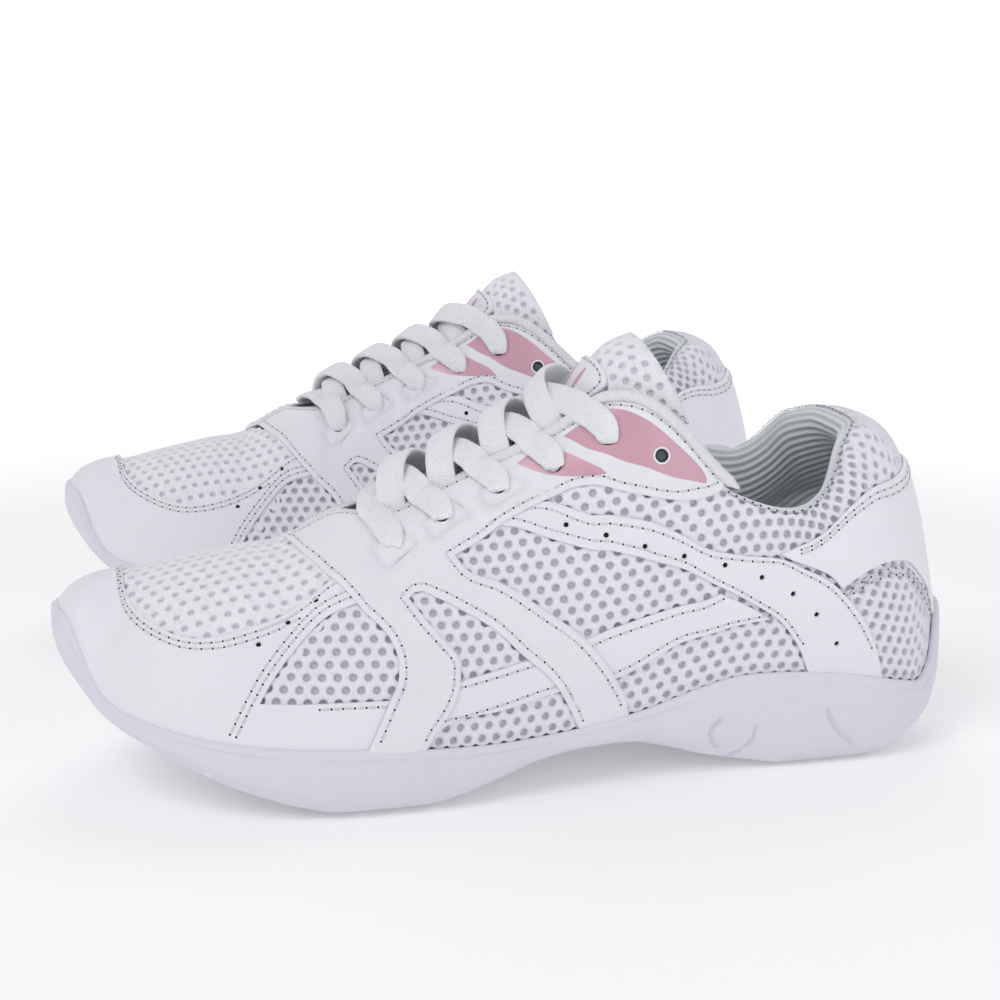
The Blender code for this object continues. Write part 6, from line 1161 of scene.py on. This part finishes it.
# ribbed strip let into the underside of the heel
tr_s = S_F[S_F <= TREAD_S+.002]
def tread_rows(sg, S):
    R = []
    for off, dz in ((None, 1.4), (17, 1.4), (10.6, 1.35), (10.3, .6), (10.9, -.05), (13, -.25), (16, -.25), (20, -.25), (26, -.25), (None, -.25)):
        p = inset(sg, S, np.full(len(S), float(off))) if off is not None else spine(S); h = dz+(0 if dz > 0 else .45*(np.sin((p[:, 0]+np.abs(p[:, 1])*.8)*2*np.pi/5.0) < -.2))
        R.append(np.concatenate([p, (np.maximum(zbot(p[:, 0])+h, 0.0))[:, None]], 1))
    return np.array(R)
TL, TM = tread_rows(-1, tr_s), tread_rows(1, tr_s); nr_, ns_ = TL.shape[:2]
P_ = np.concatenate([TL.reshape(-1, 3), TM.reshape(-1, 3)]); G_ = [(quads(nr_, ns_), 0), (quads(nr_, ns_, nr_*ns_)[:, ::-1], 0)]
colL = np.arange(nr_)*ns_+ns_-1; colM = colL+nr_*ns_
key = np.round(P_*1e4).astype(np.int64); uk, first, inv = np.unique(key, axis=0, return_index=True, return_inverse=True); inv = inv.ravel()
td = Parts(); td.add(P_[first], [(inv[g], k) for g, k in G_]+[(inv[colL][None], 0), (inv[colM][::-1][None], 0)])
td.emit("heel_tread_ribbed", [RUBBER_M], nodes=["heel_tread"], slot="tread", sharp=50)
fs.emit("sole_moulded", [EVA], nodes=["sole_unit"], slot="sole", sharp=62)

# ---- insole: crowned edge, cloth top ----
ins_s = stations(120)
def insole_rows(sg, S):
    R = []
    for off, dz in ((None, 0), (20, 0), (10.5, 0), (9.2, .3), (8.7, 1.2), (8.6, 2.2), (8.9, 3.1), (9.7, 3.75), (11.2, 4.0), (15, 4.02), (20, 4.05), (27, 4.0), (None, 4.0)):
        o2 = None if off is None else off+3.0*np.clip(1-S/0.10, 0, 1)
        p = inset(sg, S, o2*np.ones(len(S))) if off is not None else spine(S); R.append(np.concatenate([p, (zfloor(p[:, 0])+2.4+dz)[:, None]], 1))
    return np.array(R)
IL, IM = insole_rows(-1, ins_s), insole_rows(1, ins_s); a_, b_ = IL.shape[:2]
P_ = np.concatenate([IL.reshape(-1, 3), IM.reshape(-1, 3)]); key = np.round(P_*1e4).astype(np.int64); uk, first, inv = np.unique(key, axis=0, return_index=True, return_inverse=True); inv = inv.ravel()
im = Parts(); im.add(P_[first], [(inv[quads(a_, b_)], 0), (inv[quads(a_, b_, a_*b_)[:, ::-1]], 0)], P_[first]); im.emit("insole_covered", [INSOLE_M], nodes=["insole"], body="insole", slot="knit")

# hidden CAD parts keep their shape and get their own finish
for pre in ("left_", "right_"):
    for node, m in (("lasting_board", BOARD_M), ("heel_counter", STIFF_M), ("toe_puff", STIFF_M)):
        ob = frame["nodes"][pre+node]
        for i in range(max(1, len(ob.data.materials))):
            if len(ob.data.materials) <= i: ob.data.materials.append(m)
            else: ob.data.materials[i] = m

# ---- floor, light, camera ----
def floor():
    m = Nodes("pale_studio_floor"); o = m.obj(); f = m.noise(o, 3, 2); ln_o = m.n("ShaderNodeVectorMath", _operation="LENGTH"); m.t.links.new(m.coords(), ln_o.inputs[0])
    # the floor glows, faintly near the shoes and more with distance so the far floor reads white: painted light
    glow = m.math("MINIMUM", m.math("ADD", .15, m.math("MULTIPLY", m.math("MAXIMUM", m.math("SUBTRACT", ln_o.outputs["Value"], .30), 0.0), .9)), 1.0)
    m.set(Base__Color=m.mix(f, (.92, .92, .905), (.945, .945, .935)), Roughness=.8, Specular__IOR__Level=.1, Normal=m.bump(m.noise(o, 90, 2), .0002, .1), Emission__Color=(1, 1, 1, 1), Emission__Strength=glow)
    bpy.ops.mesh.primitive_grid_add(x_subdivisions=24, y_subdivisions=24, size=9.0, location=(0, 1.2, -.0004)); g = bpy.context.object; g.name = "studio_floor"; g.data.materials.append(m.m)
floor()
w = bpy.data.worlds.new("studio"); bpy.context.scene.world = w; w.use_nodes = True; bg = w.node_tree.nodes["Background"]; bg.inputs[1].default_value = 1.0
_lp = w.node_tree.nodes.new("ShaderNodeLightPath"); _mx = w.node_tree.nodes.new("ShaderNodeMix"); _mx.data_type = "RGBA"; _mx.inputs[6].default_value = (.50, .503, .53, 1); _mx.inputs[7].default_value = (1, 1, 1, 1)
w.node_tree.links.new(_lp.outputs["Is Camera Ray"], _mx.inputs[0]); w.node_tree.links.new(_mx.outputs[2], bg.inputs[0])
def lamp(name, loc, target, size, power, color=(1, 1, 1)):
    l = bpy.data.lights.new(name, "AREA"); l.shape = "DISK"; l.size = size; l.energy = power; l.color = color; o = bpy.data.objects.new(name, l); bpy.context.scene.collection.objects.link(o)
    o.location = loc; o.rotation_euler = (Vector(target)-Vector(loc)).to_track_quat("-Z", "Y").to_euler(); return o
LAMPS()
az, el, roll = math.radians(-11.52), math.radians(13.23), math.radians(.14)
back = Vector((math.sin(az)*math.cos(el), -math.cos(az)*math.cos(el), math.sin(el))); right_v = Vector((0, 0, 1)).cross(back).normalized(); up_v = back.cross(right_v)
r2 = right_v*math.cos(roll)+up_v*math.sin(roll); u2 = up_v*math.cos(roll)-right_v*math.sin(roll)
cam = bpy.data.cameras.new("photo_view"); cam.lens = 66.58; cam.sensor_width = 36; cam.clip_start = .01
co = bpy.data.objects.new("photo_view", cam); bpy.context.scene.collection.objects.link(co)
from mathutils import Matrix
co.matrix_world = Matrix(((r2.x, u2.x, back.x, -.10943), (r2.y, u2.y, back.y, -.60253), (r2.z, u2.z, back.z, .20147), (0, 0, 0, 1)))
bpy.context.scene.camera = co
bpy.context.scene.view_settings.view_transform = "Standard"
